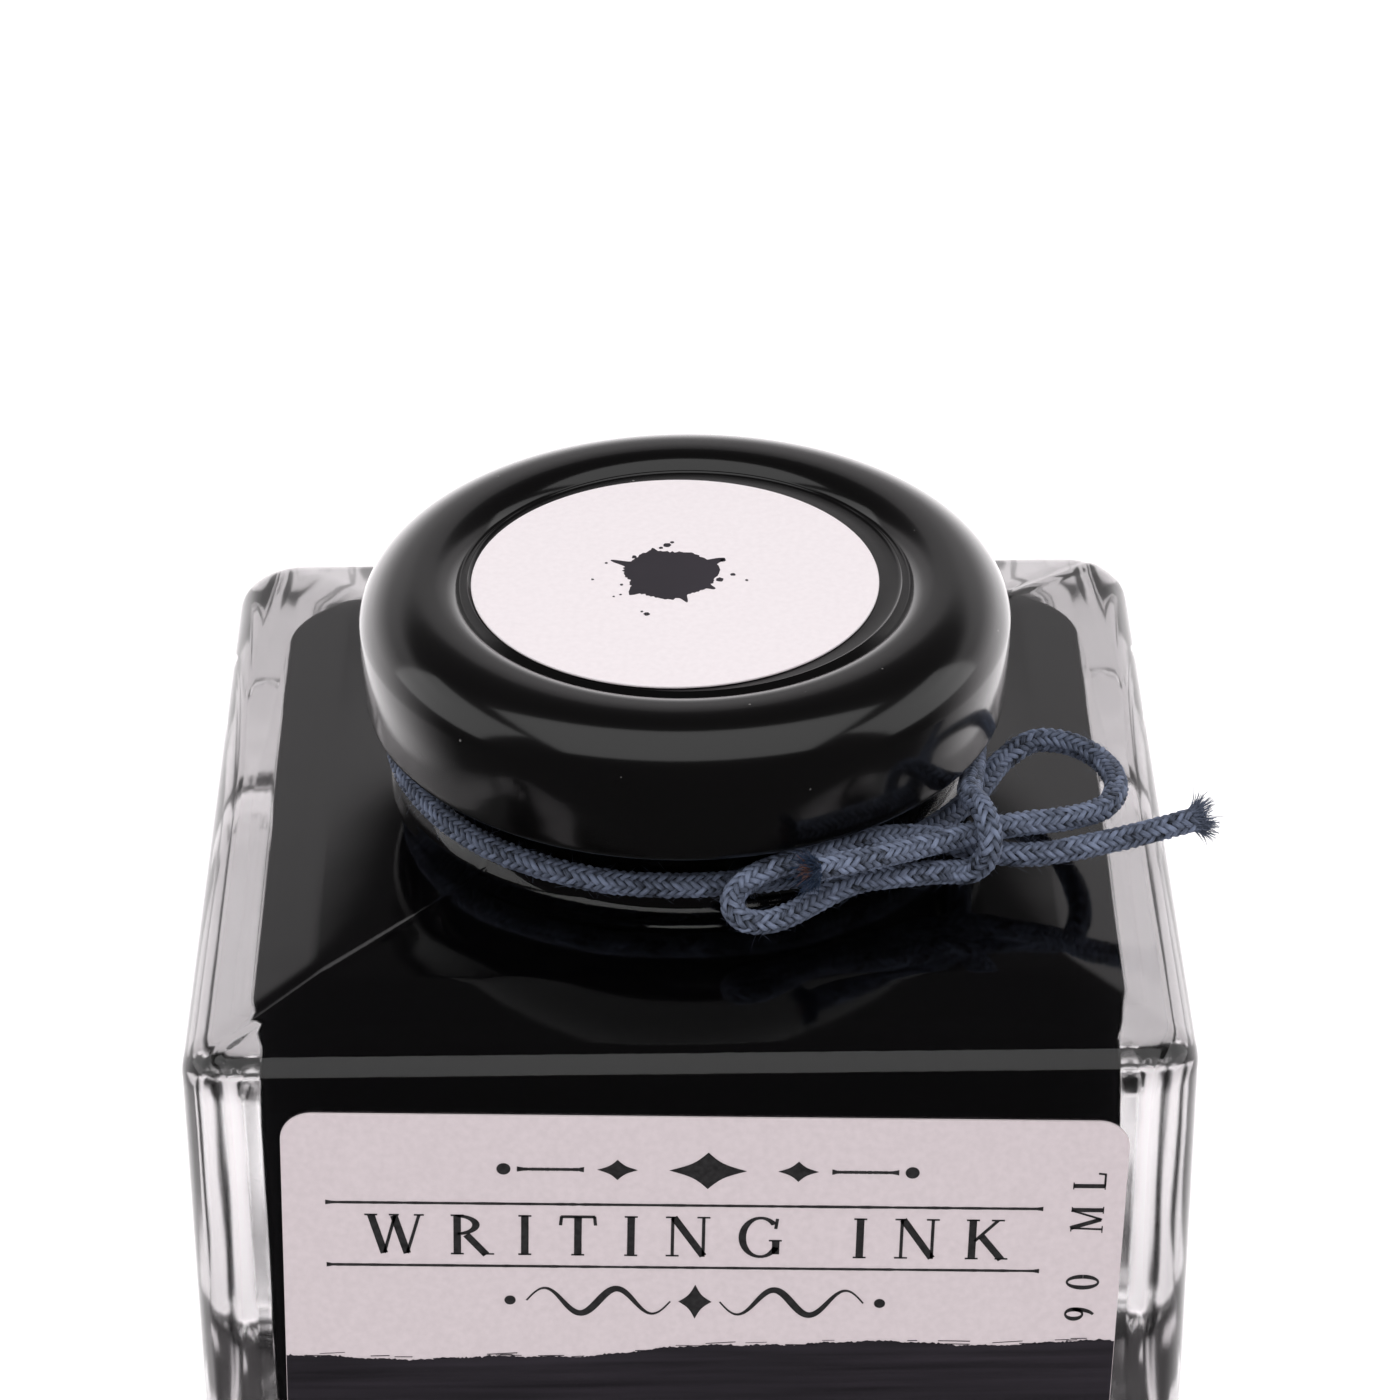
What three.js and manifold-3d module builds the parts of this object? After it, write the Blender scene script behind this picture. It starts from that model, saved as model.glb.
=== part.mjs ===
// A square ink bottle: thick clear glass filled with ink, a lacquered twist-off lid with a round
// paper sticker, a paper label on the front, and a braided cord tied in a bow round the neck.
// Millimetres, +Z up. The origin is the centre of the base; the label faces -Y.
import * as THREE from "three";
import { mergeVertices } from "three/addons/utils/BufferGeometryUtils.js";
import Module from "manifold-3d";

const wasm = await Module();
wasm.setup();

// Glass body
const BODY_WIDTH = 60.8;
const BODY_CORNER_RADIUS = 4;
const BASE_EDGE_RADIUS = 1.2;
const SHOULDER_EDGE_Z = 46.4;
const SHOULDER_EDGE_RADIUS = 2.5;
const SHOULDER_TOP_Z = 48.2;
const SHOULDER_TOP_HALF = 18.6;
const WALL = 4.4;
const BASE_THICKNESS = 9.5;
const CAVITY_CORNER_RADIUS = 3.5;

// Neck and its three-start thread
const NECK_RADIUS = 17.3;
const NECK_FOOT_RADIUS = 18.1;
const NECK_FOOT_Z = 47.6;
const RIM_Z = 61.2;
const BORE_RADIUS = 14.3;
const THREAD_STARTS = 3;
const THREAD_LEAD = 8;
const THREAD_CREST_RADIUS = 18.6;
const THREAD_ARC_DEG = 100;
const THREAD_START_Z = 55.62;
const THREAD_ROOT_HALF = 0.55;
const THREAD_CREST_HALF = 0.3;

// Ink
const INK_GAP = 0.3;
const INK_LEVEL_Z = 52;

// Lid: a pressed sheet-metal shell with a rolled lower edge and three lugs
const LID_RADIUS = 20.4;
const LID_HEM_RADIUS = 20.15;
const LID_BOTTOM_Z = 53.9;
const LID_TOP_Z = 62.4;
const LID_SHEET = 0.4;
const LID_ROUNDING_WIDTH = 3.3;
const LID_ROUNDING_HEIGHT = 3.1;
const LID_PANEL_RADIUS = 14.2;
const LID_PANEL_DEPTH = 0.6;
const LID_STEP_WIDTH = 0.6;
const HEM_RADIUS = 0.5;
const LUG_TIP_RADIUS = 17.75;
const LUG_HEIGHT = 0.9;
const LUG_Z = 54.3;
const LUG_HALF_ANGLE_DEG = 9;
const LUG_FIRST_ANGLE_DEG = 15;

// Sealing ring between the lid and the rim
const GASKET_INNER_RADIUS = 14.9;
const GASKET_OUTER_RADIUS = 17.6;
const SEAT_GAP = 0.03;

// Paper
const PAPER = 0.15;
const STICKER_RADIUS = 12.7;
const STICKER_X = -0.6;
const STICKER_Y = -0.4;
const LABEL_WIDTH = 50.5;
const LABEL_HEIGHT = 38;
const LABEL_CORNER_RADIUS = 1.9;
const LABEL_X = 0.4;
const LABEL_TOP_Z = 42.75;
const LABEL_TILT_DEG = 1.5;

// Cord
const CORD_DIAMETER = 1.6;
const CORD_SIDES = 8;
const CORD_STEPS = 80;
const CORD_NECK_RADIUS = 18.3;
const CORD_NECK_Z = 51;

const LATHE_SEGMENTS = 48;
const CORNER_SEGMENTS = 6;
const ARC_SEGMENTS = 5;

const rad = THREE.MathUtils.degToRad;

// Manifold solids and three.js geometry, either way.
function toSolid(geometry) {
  const bare = geometry.clone();
  bare.deleteAttribute("normal");
  bare.deleteAttribute("uv");
  const merged = mergeVertices(bare, 1e-4);
  const vertProperties = new Float32Array(merged.attributes.position.array);
  const triVerts = new Uint32Array(merged.index.array);
  return new wasm.Manifold(new wasm.Mesh({ numProp: 3, vertProperties, triVerts }));
}

function toGeometry(solid) {
  const mesh = solid.getMesh();
  const geometry = new THREE.BufferGeometry();
  geometry.setAttribute("position", new THREE.BufferAttribute(mesh.vertProperties, 3));
  geometry.setIndex(new THREE.BufferAttribute(mesh.triVerts, 1));
  geometry.computeVertexNormals();
  return geometry;
}

// A closed skin through a stack of rings with equally many points, each ring anticlockwise
// seen from the end of the stack, with a flat fan over each end.
function loft(rings) {
  const size = rings[0].length;
  const positions = rings.flat().flatMap((p) => [p.x, p.y, p.z]);
  const index = [];
  for (let ring = 0; ring + 1 < rings.length; ring += 1) {
    for (let i = 0; i < size; i += 1) {
      const a = ring * size + i;
      const b = ring * size + ((i + 1) % size);
      index.push(a, b, b + size, a, b + size, a + size);
    }
  }
  const last = (rings.length - 1) * size;
  for (let i = 1; i + 1 < size; i += 1) {
    index.push(0, i + 1, i);
    index.push(last, last + i, last + i + 1);
  }
  const geometry = new THREE.BufferGeometry();
  geometry.setAttribute("position", new THREE.Float32BufferAttribute(positions, 3));
  geometry.setIndex(index);
  return geometry;
}

// A solid of revolution about Z from a profile of [radius, z] points, running from the bottom
// outwards and up.
function turned(profile) {
  const points = profile.map(([radius, z]) => new THREE.Vector2(radius, z));
  return new THREE.LatheGeometry(points, LATHE_SEGMENTS).rotateX(Math.PI / 2);
}

// Points of an elliptical arc as [radius, z], from one angle to another.
function arc(centreR, centreZ, radiusR, radiusZ, fromDeg, toDeg, segments = ARC_SEGMENTS) {
  const points = [];
  for (let i = 0; i <= segments; i += 1) {
    const angle = rad(fromDeg + ((toDeg - fromDeg) * i) / segments);
    points.push([centreR + radiusR * Math.cos(angle), centreZ + radiusZ * Math.sin(angle)]);
  }
  return points;
}

function squareRing(half, cornerRadius, z) {
  const ring = [];
  for (let corner = 0; corner < 4; corner += 1) {
    const middle = rad(45 + 90 * corner);
    const offset = (half - cornerRadius) * Math.SQRT2;
    for (let i = 0; i <= CORNER_SEGMENTS; i += 1) {
      const angle = middle + rad(-45 + (90 * i) / CORNER_SEGMENTS);
      ring.push(
        new THREE.Vector3(
          offset * Math.cos(middle) + cornerRadius * Math.cos(angle),
          offset * Math.sin(middle) + cornerRadius * Math.sin(angle),
          z,
        ),
      );
    }
  }
  return ring;
}

// The outside of the body: rounded base edge, flat sides, rounded shoulder edge, and a low
// four-sided shoulder that rises to the foot of the neck.
function bodyOutside() {
  const half = BODY_WIDTH / 2;
  const rings = [];
  for (const [inset, z] of arc(0, BASE_EDGE_RADIUS, BASE_EDGE_RADIUS, BASE_EDGE_RADIUS, -90, 0, 3)) {
    rings.push(squareRing(half - BASE_EDGE_RADIUS + inset, BODY_CORNER_RADIUS - BASE_EDGE_RADIUS + inset, z));
  }
  const edge = SHOULDER_EDGE_RADIUS;
  for (const [out, z] of arc(0, SHOULDER_EDGE_Z - edge, edge, edge, 0, 84, 5)) {
    rings.push(squareRing(half - edge + out, BODY_CORNER_RADIUS - edge + out, z));
  }
  rings.push(squareRing(SHOULDER_TOP_HALF, SHOULDER_TOP_HALF * 0.7, SHOULDER_TOP_Z));
  return loft(rings);
}

// The hollow that the ink stands in, drawn in by a clearance; the shoulder follows the outside.
function bodyHollow(clearance) {
  const half = BODY_WIDTH / 2 - WALL - clearance;
  const floor = BASE_THICKNESS + clearance;
  const corner = CAVITY_CORNER_RADIUS;
  const rings = [
    squareRing(half - 2, corner - 1.5, floor),
    squareRing(half - 0.6, corner - 0.5, floor + 0.6),
    squareRing(half, corner, floor + 2),
    squareRing(half, corner, 40.3 - clearance),
    squareRing(half - 0.4, corner, 41.8 - clearance),
    squareRing(half - 1.4, corner + 0.3, 42.85 - clearance),
    squareRing(half - 2.8, corner + 1, 43.3 - clearance),
    squareRing(BORE_RADIUS + 2.5 - clearance, 11, 45 - clearance),
    squareRing(BORE_RADIUS - clearance, 12, 46.5 - clearance),
  ];
  return loft(rings);
}

function boreColumn(radius, top) {
  return turned([
    [0, BASE_THICKNESS + 20],
    [radius, BASE_THICKNESS + 20],
    [radius, top],
    [0, top],
  ]);
}

function neckOutside() {
  return turned([
    [0, BASE_THICKNESS + 30],
    [NECK_FOOT_RADIUS, BASE_THICKNESS + 30],
    [NECK_FOOT_RADIUS, NECK_FOOT_Z],
    [NECK_RADIUS + 0.3, NECK_FOOT_Z + 0.9],
    [NECK_RADIUS, NECK_FOOT_Z + 1.8],
    ...arc(NECK_RADIUS - 1.2, RIM_Z - 1, 1.2, 1, 0, 90),
    [BORE_RADIUS + 0.9, RIM_Z],
    [0, RIM_Z],
  ]);
}

// One raised helical rib: a wedge-shaped section carried up the helix, fading out at both ends.
function threadRib(startDeg) {
  const steps = 16;
  const rings = [];
  for (let i = 0; i <= steps; i += 1) {
    const along = i / steps;
    const angle = rad(startDeg + THREAD_ARC_DEG * along);
    const z = THREAD_START_Z + (THREAD_LEAD * THREAD_ARC_DEG * along) / 360;
    const fade = Math.min(1, Math.min(along, 1 - along) * 8 + 0.15);
    const crest = NECK_RADIUS + (THREAD_CREST_RADIUS - NECK_RADIUS) * fade;
    const section = [
      [NECK_RADIUS - 0.6, -THREAD_ROOT_HALF],
      [crest, -THREAD_CREST_HALF],
      [crest, THREAD_CREST_HALF],
      [NECK_RADIUS - 0.6, THREAD_ROOT_HALF],
    ];
    rings.push(
      section.map(
        ([radius, dz]) =>
          new THREE.Vector3(radius * Math.cos(angle), radius * Math.sin(angle), z + dz),
      ).reverse(),
    );
  }
  return loft(rings);
}

function glassGeometry() {
  let glass = toSolid(bodyOutside()).add(toSolid(neckOutside()));
  for (let start = 0; start < THREAD_STARTS; start += 1) {
    glass = glass.add(toSolid(threadRib((360 / THREAD_STARTS) * start)));
  }
  glass = glass.subtract(toSolid(bodyHollow(0)));
  glass = glass.subtract(toSolid(boreColumn(BORE_RADIUS, RIM_Z + 1)));
  return toGeometry(glass);
}

function inkGeometry() {
  const column = toSolid(boreColumn(BORE_RADIUS - INK_GAP, INK_LEVEL_Z));
  return toGeometry(toSolid(bodyHollow(INK_GAP)).add(column));
}

// The pressed shell: outside from the sunk panel over the raised ring, round the shoulder, down
// the skirt and round the rolled hem, then back up inside one sheet thickness away.
function lidShell() {
  const panelZ = LID_TOP_Z - LID_PANEL_DEPTH;
  const roundR = LID_RADIUS - LID_ROUNDING_WIDTH;
  const roundZ = LID_TOP_Z - LID_ROUNDING_HEIGHT;
  const outside = [
    [0, panelZ],
    [LID_PANEL_RADIUS - LID_STEP_WIDTH, panelZ],
    [LID_PANEL_RADIUS, panelZ + 0.45],
    [LID_PANEL_RADIUS + LID_STEP_WIDTH, LID_TOP_Z],
    ...arc(roundR, roundZ, LID_ROUNDING_WIDTH, LID_ROUNDING_HEIGHT, 90, 0, 6),
  ];
  const hem = arc(
    LID_HEM_RADIUS - HEM_RADIUS,
    LID_BOTTOM_Z + HEM_RADIUS,
    HEM_RADIUS,
    HEM_RADIUS,
    0,
    -225,
    7,
  );
  const sheet = LID_SHEET;
  const inside = [
    [LID_HEM_RADIUS - sheet, LID_BOTTOM_Z + 2 * HEM_RADIUS + 0.1],
    ...arc(roundR, roundZ, LID_ROUNDING_WIDTH - sheet, LID_ROUNDING_HEIGHT - sheet, 0, 90, 6),
    [LID_PANEL_RADIUS + LID_STEP_WIDTH + 0.1, LID_TOP_Z - sheet],
    [LID_PANEL_RADIUS + 0.35, panelZ + 0.45 - sheet],
    [LID_PANEL_RADIUS - LID_STEP_WIDTH + 0.2, panelZ - sheet],
    [0, panelZ - sheet],
  ];
  return turned([...outside, ...hem, ...inside].reverse());
}

// A lug: a flat tongue of the hem pressed in under the glass thread.
function lidLug(middleDeg) {
  const outer = LID_HEM_RADIUS - 0.7;
  const steps = 4;
  const rings = [];
  for (let i = 0; i <= steps; i += 1) {
    const across = -1 + (2 * i) / steps;
    const angle = rad(middleDeg + LUG_HALF_ANGLE_DEG * across);
    const tip = LUG_TIP_RADIUS + 0.5 * across * across;
    const section = [
      [tip, LUG_Z + 0.15],
      [outer, LUG_Z - 0.1],
      [outer, LUG_Z + LUG_HEIGHT],
      [tip, LUG_Z + LUG_HEIGHT - 0.1],
    ];
    rings.push(
      section.map(
        ([radius, z]) => new THREE.Vector3(radius * Math.cos(angle), radius * Math.sin(angle), z),
      ).reverse(),
    );
  }
  return loft(rings);
}

function lidGeometry() {
  let lid = toSolid(lidShell());
  for (let lug = 0; lug < THREAD_STARTS; lug += 1) {
    lid = lid.add(toSolid(lidLug(LUG_FIRST_ANGLE_DEG + (360 / THREAD_STARTS) * lug)));
  }
  return toGeometry(lid);
}

function gasketGeometry() {
  const low = RIM_Z + SEAT_GAP;
  const high = LID_TOP_Z - LID_SHEET - SEAT_GAP;
  return turned([
    [GASKET_INNER_RADIUS, low],
    [GASKET_OUTER_RADIUS - 0.2, low],
    [GASKET_OUTER_RADIUS, low + 0.25],
    [GASKET_OUTER_RADIUS - 0.3, high],
    [GASKET_INNER_RADIUS + 0.2, high],
    [GASKET_INNER_RADIUS, low],
  ]);
}

function stickerGeometry() {
  const outline = new THREE.Shape().absarc(0, 0, STICKER_RADIUS, 0, 2 * Math.PI);
  return new THREE.ExtrudeGeometry(outline, { depth: PAPER, bevelEnabled: false, curveSegments: 24 });
}

function labelGeometry() {
  const x = LABEL_WIDTH / 2;
  const y = LABEL_HEIGHT / 2;
  const r = LABEL_CORNER_RADIUS;
  const outline = new THREE.Shape();
  outline.moveTo(-x + r, -y);
  outline.lineTo(x - r, -y);
  outline.absarc(x - r, -y + r, r, -Math.PI / 2, 0);
  outline.absarc(x - r, y - r, r, 0, Math.PI / 2);
  outline.absarc(-x + r, y - r, r, Math.PI / 2, Math.PI);
  outline.absarc(-x + r, -y + r, r, Math.PI, 1.5 * Math.PI);
  const settings = { depth: PAPER, bevelEnabled: false, curveSegments: 6 };
  return new THREE.ExtrudeGeometry(outline, settings).rotateX(Math.PI / 2);
}

// The cord's centre line: the short left tail, through the knot into the right loop and back,
// once round the neck clockwise, over the knot as its band, out as the left loop, and back
// behind the knot as the long right tail.
const CORD_RIGHT_LOOP = [
  [7.4, -20.7, 53.7],
  [11.6, -18.9, 53.5],
  [14.9, -16.8, 53.0],
  [17.4, -15.0, 52.5],
  [20.1, -13.8, 52.3],
  [23.0, -13.1, 52.2],
  [25.6, -11.4, 51.9],
  [26.6, -8.6, 51.6],
  [26.0, -5.2, 51.3],
  [24.2, -3.0, 51.2],
  [22.0, -2.4, 51.1],
  [20.0, -3.8, 50.7],
  [17.8, -7.4, 50.2],
  [14.8, -11.1, 50.1],
  [11.2, -14.5, 50.5],
];
const CORD_LEFT_LOOP = [
  [18.1, -2.5, 51.2],
  [17.9, -6.0, 51.9],
  [17.5, -9.6, 52.6],
  [17.3, -12.5, 53.6],
  [17.7, -14.6, 54.3],
  [18.1, -16.2, 54.2],
  [18.3, -17.0, 53.2],
  [18.0, -17.1, 52.0],
  [17.2, -16.8, 50.9],
  [16.0, -16.7, 50.8],
  [14.7, -17.2, 51.1],
  [13.3, -17.7, 51.3],
  [11.9, -18.1, 51.4],
  [10.6, -18.4, 51.4],
  [9.2, -18.9, 51.2],
  [7.9, -19.6, 50.9],
  [6.2, -20.7, 50.6],
  [4.6, -21.6, 50.6],
  [3.2, -21.7, 50.9],
  [2.6, -21.0, 51.5],
  [3.1, -20.0, 52.1],
  [4.6, -19.1, 52.6],
  [6.4, -18.3, 52.8],
  [8.4, -17.2, 52.8],
  [11.6, -15.6, 52.6],
  [14.8, -14.3, 51.7],
  [17.6, -14.3, 50.8],
  [21.0, -14.6, 50.6],
  [26.0, -13.6, 50.9],
  [31.3, -11.9, 51.3],
];

function neckTurn() {
  const points = [];
  for (let deg = -75; deg >= -345; deg -= 30) {
    const angle = rad(deg);
    points.push([CORD_NECK_RADIUS * Math.cos(angle), CORD_NECK_RADIUS * Math.sin(angle), CORD_NECK_Z]);
  }
  return points;
}

function cordGeometry() {
  const route = [...CORD_RIGHT_LOOP, ...neckTurn(), ...CORD_LEFT_LOOP];
  const path = new THREE.CatmullRomCurve3(
    route.map((point) => new THREE.Vector3(...point)),
    false,
    "centripetal",
  );
  const section = new THREE.Shape();
  for (let i = 0; i < CORD_SIDES; i += 1) {
    const angle = (2 * Math.PI * i) / CORD_SIDES;
    const x = (CORD_DIAMETER / 2) * Math.cos(angle);
    const y = (CORD_DIAMETER / 2) * Math.sin(angle);
    if (i === 0) section.moveTo(x, y);
    else section.lineTo(x, y);
  }
  section.closePath();
  return new THREE.ExtrudeGeometry(section, { steps: CORD_STEPS, extrudePath: path });
}

function material(color, roughness, metalness, opacity = 1) {
  const settings = { color, roughness, metalness, opacity, transparent: opacity < 1 };
  return new THREE.MeshStandardMaterial(settings);
}

function piece(name, geometry, finish) {
  const mesh = new THREE.Mesh(geometry, finish);
  mesh.name = name;
  return mesh;
}

const bottle = new THREE.Group();
bottle.add(piece("glass_bottle", glassGeometry(), material(0xe8ecef, 0.03, 0, 0.35)));
bottle.add(piece("ink", inkGeometry(), material(0x060608, 0.05, 0)));

const frontLabel = piece("front_label", labelGeometry(), material(0xe6dfe2, 0.8, 0));
frontLabel.position.set(LABEL_X, -BODY_WIDTH / 2 - SEAT_GAP, LABEL_TOP_Z - LABEL_HEIGHT / 2);
frontLabel.rotation.y = rad(LABEL_TILT_DEG);
bottle.add(frontLabel);

bottle.add(piece("neck_cord", cordGeometry(), material(0x46506a, 0.9, 0)));

const lid = new THREE.Group();
lid.add(piece("lid_gasket", gasketGeometry(), material(0xcfc8ba, 0.6, 0)));
lid.add(piece("lid_shell", lidGeometry(), material(0x070707, 0.12, 0.2)));

const lidLabel = piece("lid_label", stickerGeometry(), material(0xf3eef0, 0.75, 0));
lidLabel.position.set(STICKER_X, STICKER_Y, LID_TOP_Z - LID_PANEL_DEPTH + SEAT_GAP);
lid.add(lidLabel);
bottle.add(lid);

export default bottle;
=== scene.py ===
import bpy
import numpy as np
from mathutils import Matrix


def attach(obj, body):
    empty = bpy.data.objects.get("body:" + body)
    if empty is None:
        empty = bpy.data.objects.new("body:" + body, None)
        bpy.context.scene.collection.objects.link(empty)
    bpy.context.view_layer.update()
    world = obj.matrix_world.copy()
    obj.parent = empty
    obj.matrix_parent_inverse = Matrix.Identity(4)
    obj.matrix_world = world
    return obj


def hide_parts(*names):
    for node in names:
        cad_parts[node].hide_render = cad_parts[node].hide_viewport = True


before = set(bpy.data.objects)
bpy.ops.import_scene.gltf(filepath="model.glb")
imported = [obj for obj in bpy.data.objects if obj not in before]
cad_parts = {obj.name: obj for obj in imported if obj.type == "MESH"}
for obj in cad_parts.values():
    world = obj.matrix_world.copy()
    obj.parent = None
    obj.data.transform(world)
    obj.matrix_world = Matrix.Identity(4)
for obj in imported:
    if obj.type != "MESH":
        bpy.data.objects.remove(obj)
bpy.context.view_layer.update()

MM = 0.001
rng = np.random.default_rng(7)


# ---------------------------------------------------------------- camera
# A long lens looks down at about thirty degrees on the lid and the front label. It is rolled a
# fraction of a degree, and the bottle's base falls below its view.
LENS_MM = 131.9
SENSOR_MM = 36.0
PITCH_DEG = 31.8
YAW_DEG = 0.35
ROLL_DEG = 0.42
LOOK_DISTANCE = 0.3243
look_at = np.array([0.0009, 0.0, 0.0529])

pitch, yaw, roll = np.radians([PITCH_DEG, YAW_DEG, ROLL_DEG])
forward = np.array([np.sin(yaw) * np.cos(pitch), np.cos(yaw) * np.cos(pitch), -np.sin(pitch)])
level_right = np.cross(forward, [0, 0, 1])
level_right /= np.linalg.norm(level_right)
level_up = np.cross(level_right, forward)
right = level_right * np.cos(roll) - level_up * np.sin(roll)
up = level_up * np.cos(roll) + level_right * np.sin(roll)

camera_data = bpy.data.cameras.new("camera")
camera_data.lens = LENS_MM
camera_data.sensor_width = SENSOR_MM
camera_data.clip_start = 0.01
camera = bpy.data.objects.new("camera", camera_data)
bpy.context.scene.collection.objects.link(camera)


def stand_at(thing, x_axis, y_axis, z_axis, position):
    """Turns an object to three axes and puts it in its place."""
    matrix = np.eye(4)
    matrix[:3] = np.column_stack([x_axis, y_axis, z_axis, position])
    thing.matrix_world = matrix.T.tolist()


stand_at(camera, right, up, -forward, look_at - forward * LOOK_DISTANCE)
bpy.context.scene.camera = camera


# ---------------------------------------------------------------- neck cord
# A round cord of waxed cotton, braided from sixteen yarns two over and two under, goes once round
# the neck below the lid and is tied in a bow; both ends are cut and have frayed.
CORD_STEP = 0.25
YARNS_EACH_WAY = 8
YARN_HALF_WIDTH = 0.172
YARN_HALF_HEIGHT = 0.12
BRAID_RADIUS = 0.585
BRAID_LIFT = 0.095
BRAID_LAY = 4.4
CORE_RADIUS = 0.52
CORD_NECK_RADIUS = 18.3
CORD_NECK_Z = 51.0

cord_right_loop = [
    (7.4, -20.7, 53.7), (11.6, -18.9, 53.5), (14.9, -16.8, 53.0), (17.4, -15.0, 52.5),
    (20.1, -13.8, 52.3), (23.0, -13.1, 52.2), (25.6, -11.4, 51.9), (26.6, -8.6, 51.6),
    (26.0, -5.2, 51.3), (24.2, -3.0, 51.2), (22.0, -2.4, 51.1), (20.0, -3.8, 50.7),
    (17.8, -7.4, 50.2), (14.8, -11.1, 50.1), (11.2, -14.5, 50.5),
]
cord_left_loop = [
    (18.1, -2.5, 51.2), (17.9, -6.0, 51.9), (17.5, -9.6, 52.6), (17.3, -12.5, 53.6),
    (17.7, -14.6, 54.3), (18.1, -16.2, 54.2), (18.3, -17.0, 53.2), (18.0, -17.1, 52.0),
    (17.2, -16.8, 50.9), (16.0, -16.7, 50.8), (14.7, -17.2, 51.1), (13.3, -17.7, 51.3),
    (11.9, -18.1, 51.4), (10.6, -18.4, 51.4), (9.2, -18.9, 51.2), (7.9, -19.6, 50.9),
    (6.2, -20.7, 50.6), (4.6, -21.6, 50.6), (3.2, -21.7, 50.9), (2.6, -21.0, 51.5),
    (3.1, -20.0, 52.1), (4.6, -19.1, 52.6), (6.4, -18.3, 52.8), (8.4, -17.2, 52.8),
    (11.6, -15.6, 52.6), (14.8, -14.3, 51.7), (17.6, -14.3, 50.8), (21.0, -14.6, 50.6),
    (26.0, -13.6, 50.9), (31.3, -11.9, 51.3),
]
turn = np.radians(np.arange(-75, -346, -30))
cord_neck_turn = np.column_stack([
    CORD_NECK_RADIUS * np.cos(turn),
    CORD_NECK_RADIUS * np.sin(turn),
    np.full(turn.shape, CORD_NECK_Z),
])
cord_route = np.vstack([cord_right_loop, cord_neck_turn, cord_left_loop])


def smooth_line(points, per_span=40):
    """Centripetal Catmull-Rom curve: between each pair of points, the blend of blends whose
    knots are spaced by the square root of the distance between neighbouring points."""
    p = np.vstack([2 * points[0] - points[1], points, 2 * points[-1] - points[-2]])
    gap = np.sqrt(np.linalg.norm(np.diff(p, axis=0), axis=1))
    knot = np.concatenate([[0], np.cumsum(gap)])
    p0, p1, p2, p3 = (p[i:len(p) - 3 + i, None, :] for i in range(4))
    t0, t1, t2, t3 = (knot[i:len(p) - 3 + i, None, None] for i in range(4))
    t = t1 + (t2 - t1) * (np.arange(per_span) / per_span)[None, :, None]
    a1 = (t1 - t) / (t1 - t0) * p0 + (t - t0) / (t1 - t0) * p1
    a2 = (t2 - t) / (t2 - t1) * p1 + (t - t1) / (t2 - t1) * p2
    a3 = (t3 - t) / (t3 - t2) * p2 + (t - t2) / (t3 - t2) * p3
    b1 = (t2 - t) / (t2 - t0) * a1 + (t - t0) / (t2 - t0) * a2
    b2 = (t3 - t) / (t3 - t1) * a2 + (t - t1) / (t3 - t1) * a3
    curve = (t2 - t) / (t2 - t1) * b1 + (t - t1) / (t2 - t1) * b2
    return np.vstack([curve.reshape(-1, 3), points[-1]])


def even_line(curve, step):
    """The same line with its points a fixed step apart, found by arc length."""
    along = np.concatenate([[0], np.cumsum(np.linalg.norm(np.diff(curve, axis=0), axis=1))])
    count = int(round(along[-1] / step)) + 1
    wanted = np.linspace(0, along[-1], count)
    return np.column_stack([np.interp(wanted, along, curve[:, k]) for k in range(3)]), wanted


def unit(vectors):
    """Rows scaled to length one."""
    return vectors / np.linalg.norm(vectors, axis=1)[:, None]


def carried_frames(line):
    """Tangent, side and lift vectors along a line, each frame the last one turned by the least
    rotation that follows the bend, so that nothing twists with the route."""
    tangent = unit(np.gradient(line, axis=0))
    side = np.cross(tangent[0], [0, 0, 1])
    sides = []
    for direction in tangent:
        side = side - direction * (side @ direction)
        side = side / np.linalg.norm(side)
        sides.append(side)
    sides = np.array(sides)
    return tangent, sides, np.cross(tangent, sides)


def skin(rows, columns, close_columns=True):
    """Quads of a grid of points numbered row by row; the columns may close on themselves."""
    last = columns if close_columns else columns - 1
    r, c = np.meshgrid(np.arange(rows - 1), np.arange(last), indexing="ij")
    a = (r * columns + c).ravel()
    b = (r * columns + (c + 1) % columns).ravel()
    return np.column_stack([a, b, b + columns, a + columns])


def closed_skin(rows, corners):
    """Faces of a tube's skin and of its two flat ends."""
    ring = np.arange(corners)[None]
    return [skin(rows, corners), ring[:, ::-1], ring + (rows - 1) * corners]


def tube(line, side, lift, half_width, half_height, corners, phase=0.0):
    """An elliptical section carried along a line: centre plus side times half width times the
    cosine plus lift times half height times the sine."""
    angle = phase + 2 * np.pi * np.arange(corners) / corners
    across = np.asarray(half_width).reshape(-1, 1, 1) * side[:, None] * np.cos(angle)[None, :, None]
    above = np.asarray(half_height).reshape(-1, 1, 1) * lift[:, None] * np.sin(angle)[None, :, None]
    return (line[:, None] + across + above).reshape(-1, 3)


def build_mesh(name, points, faces, smooth=True):
    """A mesh object from arrays of points in millimetres and of faces, linked to the scene."""
    mesh = bpy.data.meshes.new(name)
    mesh.from_pydata((np.asarray(points) * MM).tolist(), [], [list(map(int, f)) for f in faces])
    mesh.validate()
    mesh.polygons.foreach_set("use_smooth", [smooth] * len(mesh.polygons))
    piece = bpy.data.objects.new(name, mesh)
    bpy.context.scene.collection.objects.link(piece)
    return piece


def point_attribute(piece, name, values):
    """A named number stored on each point, which a material can read."""
    layer = piece.data.attributes.new(name, "FLOAT", "POINT")
    layer.data.foreach_set("value", np.asarray(values, np.float32))


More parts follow.
